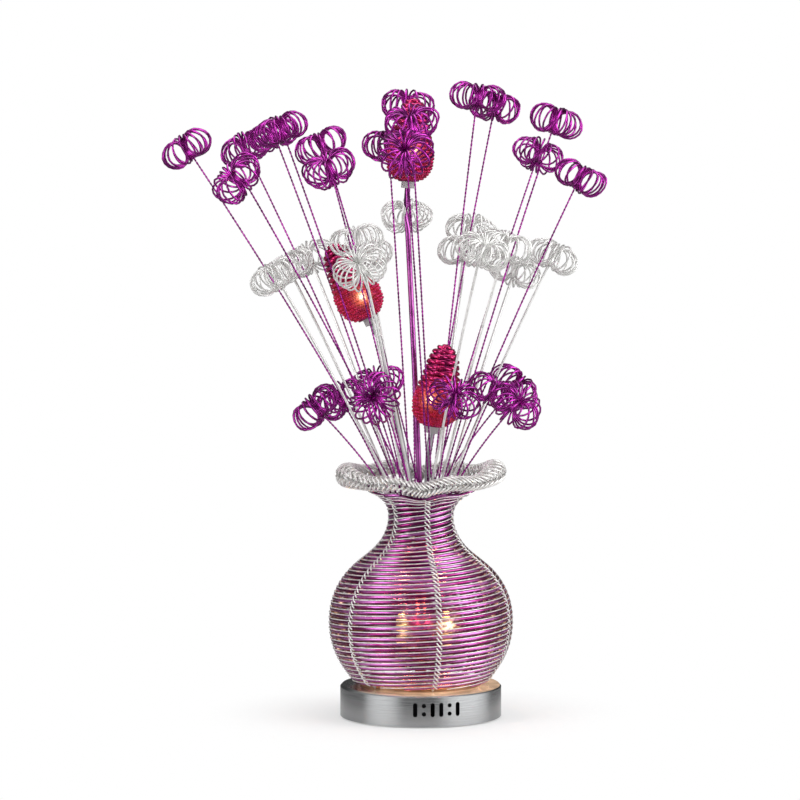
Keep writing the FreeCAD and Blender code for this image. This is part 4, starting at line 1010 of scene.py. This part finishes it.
def grow_shade(name):
    core = lit_copy(SHADOWED_WINE, name, 1.2, 500.0)
    rope = lit_copy(CRIMSON, name, 1.8, 600.0)
    label = "shade_" + name
    role = (label + "_body", "crimson_wire")
    lines = rows_of_bud(name, start=0.0, end=1.0, pitch=2.1, inside=1.9)
    wires(label + "_rows", lines, ROUND, core, *role, label, Radius=0.00118, Flat=0.7, Sides=6)
    lines = rows_of_bud(name, start=0.42, end=1.0, pitch=5.0, inside=1.2, ripple=0.5, waves=6)
    settings = {"Strand": 0.0016, "Spread": 0.0007, "Pitch": 0.016, "Step": 0.001, "Sides": 7}
    wires(label + "_ropes", lines, TWISTED, rope, *role, **settings)
    lines = rows_of_bud(name, start=0.02, end=0.45, pitch=2.9, inside=1.0, ripple=0.8, waves=9.3)
    settings = {"Strand": 0.0006, "Spread": 0.001, "Pitch": 0.0042, "Step": 0.0007, "Sides": 5}
    wires(label + "_mesh", lines, TWISTED, rope, *role, **settings)


for name in LAMPS:
    grow_shade(name)

# %% [markdown]
# ## What the model already shows
# The base, the sockets, the bulbs and the fixings could be built again with finer detail, but the model's
# own shapes are complete, so they only get a finish. The vase's floor and tube get painted lamplight in
# their base colour.


# %% Finish the model's own pieces
def bulb_glass():
    material = bpy.data.materials.new("lit bulb")
    tree, shader, here = opened(material)
    hot = mixed(tree, tree.noise(here, 300.0), (1.0, 0.52, 0.18), (1.0, 0.74, 0.38))
    tree.link(hot, shader.inputs["Base Color"])
    tree.link(hot, shader.inputs["Emission Color"])
    shader.inputs["Emission Strength"].default_value = 2.2
    shader.inputs["Roughness"].default_value = 0.15
    return material


BULB = bulb_glass()
FINISH_OF = {
    "base_housing": STEEL, "bottom_cover": PAINT, "base_pad": FOAM, "cover_screws": ZINC,
    "cable_grommet": FOAM, "transformer": CASE, "terminal_block": TERMINAL, "centre_tube": LAMPLIT_TUBE,
    "lead_bundle": SLEEVE, "tube_fixings": ZINC, "vase_floor": LAMPLIT_ZINC, "lamp_bracket": ZINC,
    "vase_sockets": CERAMIC, "stem_holder": HOLDER, "vase_bulb_left": BULB, "vase_bulb_right": BULB,
}
for name in LAMPS:
    FINISH_OF.update({"bulb_" + name: BULB, "lamp_socket_" + name: SOCKET, "shade_collar_" + name: CRIMSON})
for node, material in FINISH_OF.items():
    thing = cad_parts[node]
    if not thing.material_slots:
        thing.data.materials.append(material)
    for material_slot in thing.material_slots:
        material_slot.material = material
print("finished nodes:", len(FINISH_OF))

# %% [markdown]
# ## The room
# The ground is white and the light soft. An all-white room would be simple, but metal that mirrors it has
# no contrast. So the camera sees white, and the metal mirrors a dim room with four soft panels, each with
# its direction, how narrow it is and how bright.

# %% The room
PANELS = [
    ((0.856, -0.514, 0.0), 0.60, 1.4),
    ((-0.93, -0.36, 0.0), 0.80, 1.15),
    ((-0.45, -0.88, 0.0), 0.975, 0.25),
    ((0.0, 0.0, 1.0), 0.3, 0.6),
]
DIM_ROOM = 0.07
SOFT_LIGHT = 0.55
scene = bpy.context.scene
scene.view_settings.view_transform = "Standard"


def build_world():
    world = bpy.data.worlds.new("white studio")
    scene.world = world
    world.use_nodes = True
    tree = Tree(world.node_tree)
    background = world.node_tree.nodes["Background"]
    path = tree.add("ShaderNodeLightPath")
    seen = path.give("Is Camera Ray").math("MAXIMUM", path.give("Is Transmission Ray"))
    shine = path.give("Is Glossy Ray")
    way = tree.add("ShaderNodeTexCoord").give("Generated")
    studio = DIM_ROOM
    for direction, narrow, power in PANELS:
        facing = tree.measure("DOT_PRODUCT", way, direction)
        studio = tree.ranged(facing, (narrow, 1.0), (0.0, power), smooth=True) + studio
    strength = seen + shine * studio + (1.0 - seen.math("MAXIMUM", shine)) * SOFT_LIGHT
    background.inputs["Color"].default_value = (1, 1, 1, 1)
    tree.link(strength, background.inputs["Strength"])


build_world()
print("panels:", len(PANELS))

# %% [markdown]
# ## The floor
# Only a soft shadow near the base shows. A floor that looks white all over needs very strong light. This
# one fades to pure white for the camera, and there it lets mirrored rays pass, so that the drum doesn't
# mirror a bright table.

# %% The floor
FLOOR_RADIUS = 2.6
FADE = (0.07, 0.20)
CLEARNESS = 0.8


def put(name, data, place, way=None):
    """A thing of the stage: where it stands and which way it looks."""
    thing = bpy.data.objects.new(name, data)
    thing.location = place
    if way:
        thing.rotation_euler = way.to_track_quat("-Z", "Y").to_euler()
    scene.collection.objects.link(thing)
    return thing


def floor_mesh(rings=12, sides=72):
    """A disc whose rings lie closer together near the lamp."""
    corners = [(0.0, 0.0, 0.0)]
    faces = []
    for ring in range(1, rings + 1):
        radius = FLOOR_RADIUS * (ring / rings) ** 2
        for n in range(sides):
            turn = FULL_TURN * n / sides
            corners.append((radius * math.cos(turn), radius * math.sin(turn), 0.0))
    for n in range(sides):
        m = (n + 1) % sides
        faces.append((0, 1 + n, 1 + m))
        for ring in range(rings - 1):
            low, high = 1 + ring * sides, 1 + (ring + 1) * sides
            faces.append((low + n, high + n, high + m, low + m))
    mesh = bpy.data.meshes.new("floor")
    mesh.from_pydata(corners, [], faces)
    return mesh


def floor_finish():
    """Pale near the lamp, pure white to the camera further out, and clear to mirrored rays there."""
    material = bpy.data.materials.new("pale floor")
    tree, shader, here = opened(material)
    nodes, links = material.node_tree.nodes, material.node_tree.links
    shader.inputs["Base Color"].default_value = (0.93, 0.93, 0.93, 1)
    shader.inputs["Roughness"].default_value = 0.7
    shader.inputs["Specular IOR Level"].default_value = 0.2
    white = nodes.new("ShaderNodeEmission")
    open_air = nodes.new("ShaderNodeBsdfTransparent")
    fade = tree.ranged(tree.measure("LENGTH", here), FADE, (0.35, 1.0), smooth=True)
    path = tree.add("ShaderNodeLightPath")
    surface = shader
    for share, other in (
        (fade * path.give("Is Camera Ray"), white),
        (fade * path.give("Is Glossy Ray") * CLEARNESS, open_air),
    ):
        blend = nodes.new("ShaderNodeMixShader")
        tree.link(share, blend.inputs[0])
        links.new(surface.outputs[0], blend.inputs[1])
        links.new(other.outputs[0], blend.inputs[2])
        surface = blend
    links.new(surface.outputs[0], nodes["Material Output"].inputs["Surface"])
    return material


floor = put("floor", floor_mesh(), (0, 0, 0))
floor.data.materials.append(floor_finish())
floor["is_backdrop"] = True
print("floor:", len(floor.data.polygons), "faces")

# %% [markdown]
# ## The lamps
# Three large soft lamps light the wires from both sides and from above, the right one most. One sun would
# be simpler, but its shadow is hard. Small warm lamps stand where the bulbs are.


# %% The lamps
def area_lamp(name, place, target, size, power):
    light = bpy.data.lights.new(name, "AREA")
    light.shape = "RECTANGLE"
    light.size, light.size_y = size
    light.energy = power
    put(name, light, place, Vector(target) - Vector(place))


def warm_lamp(name, place, power):
    light = bpy.data.lights.new(name, "POINT")
    light.energy = power
    light.color = (1.0, 0.55, 0.22)
    light.shadow_soft_size = 0.004
    put(name, light, place)


area_lamp("softbox_right", (1.25, -0.78, 0.8), (0, 0, 0.25), (1.0, 1.0), 13)
area_lamp("softbox_left", (-1.35, -0.55, 0.7), (0, 0, 0.25), (0.7, 1.0), 9)
area_lamp("softbox_top", (0.0, 0.1, 1.6), (0, 0, 0.3), (1.2, 1.2), 10)
for side, across in (("right", 0.023), ("left", -0.017)):
    _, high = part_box("vase_bulb_" + side)
    warm_lamp("vase_glow_" + side, (across, -0.007, high[2] + 0.002), 0.09)
for name in LAMPS:
    foot, axis = lamp_frame(name)[:2]
    warm_lamp("shade_glow_" + name, tuple((foot + axis * 30) * MM), 0.02)
print("lamps:", len(bpy.data.lights))

# %% [markdown]
# ## The camera
# The photograph was taken from a little above, about 11 degrees beside the vents. A camera close by would
# curve the drum's edges strongly. The flat curves in the photograph need a long lens, 2.6 m away.

# %% The camera
CAMERA_AT = (-0.5138, -2.5488, 0.423)
CAMERA_DIP = -3.26
CAMERA_LENS = 135.4
dip = math.radians(CAMERA_DIP)
turn = math.radians(TURN)
aim = Vector((math.sin(turn) * math.cos(dip), math.cos(turn) * math.cos(dip), math.sin(dip)))
camera_data = bpy.data.cameras.new("camera")
camera_data.lens = CAMERA_LENS
scene.camera = put("camera", camera_data, CAMERA_AT, aim)
print("camera at", CAMERA_AT, "lens", CAMERA_LENS)

# %% [markdown]
# ## Measure and finish
# Both boxes are measured, the model's own and the dressed lamp's, and the dressed one is printed.
# The dressed lamp has to keep to the model's own box.

# %% Measure and finish
low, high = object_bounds()
boxes = {"cad": [list(cad_low), list(cad_high)], "visual": [list(low), list(high)]}
print("dressed box from", [round(v, 4) for v in low], "to", [round(v, 4) for v in high])
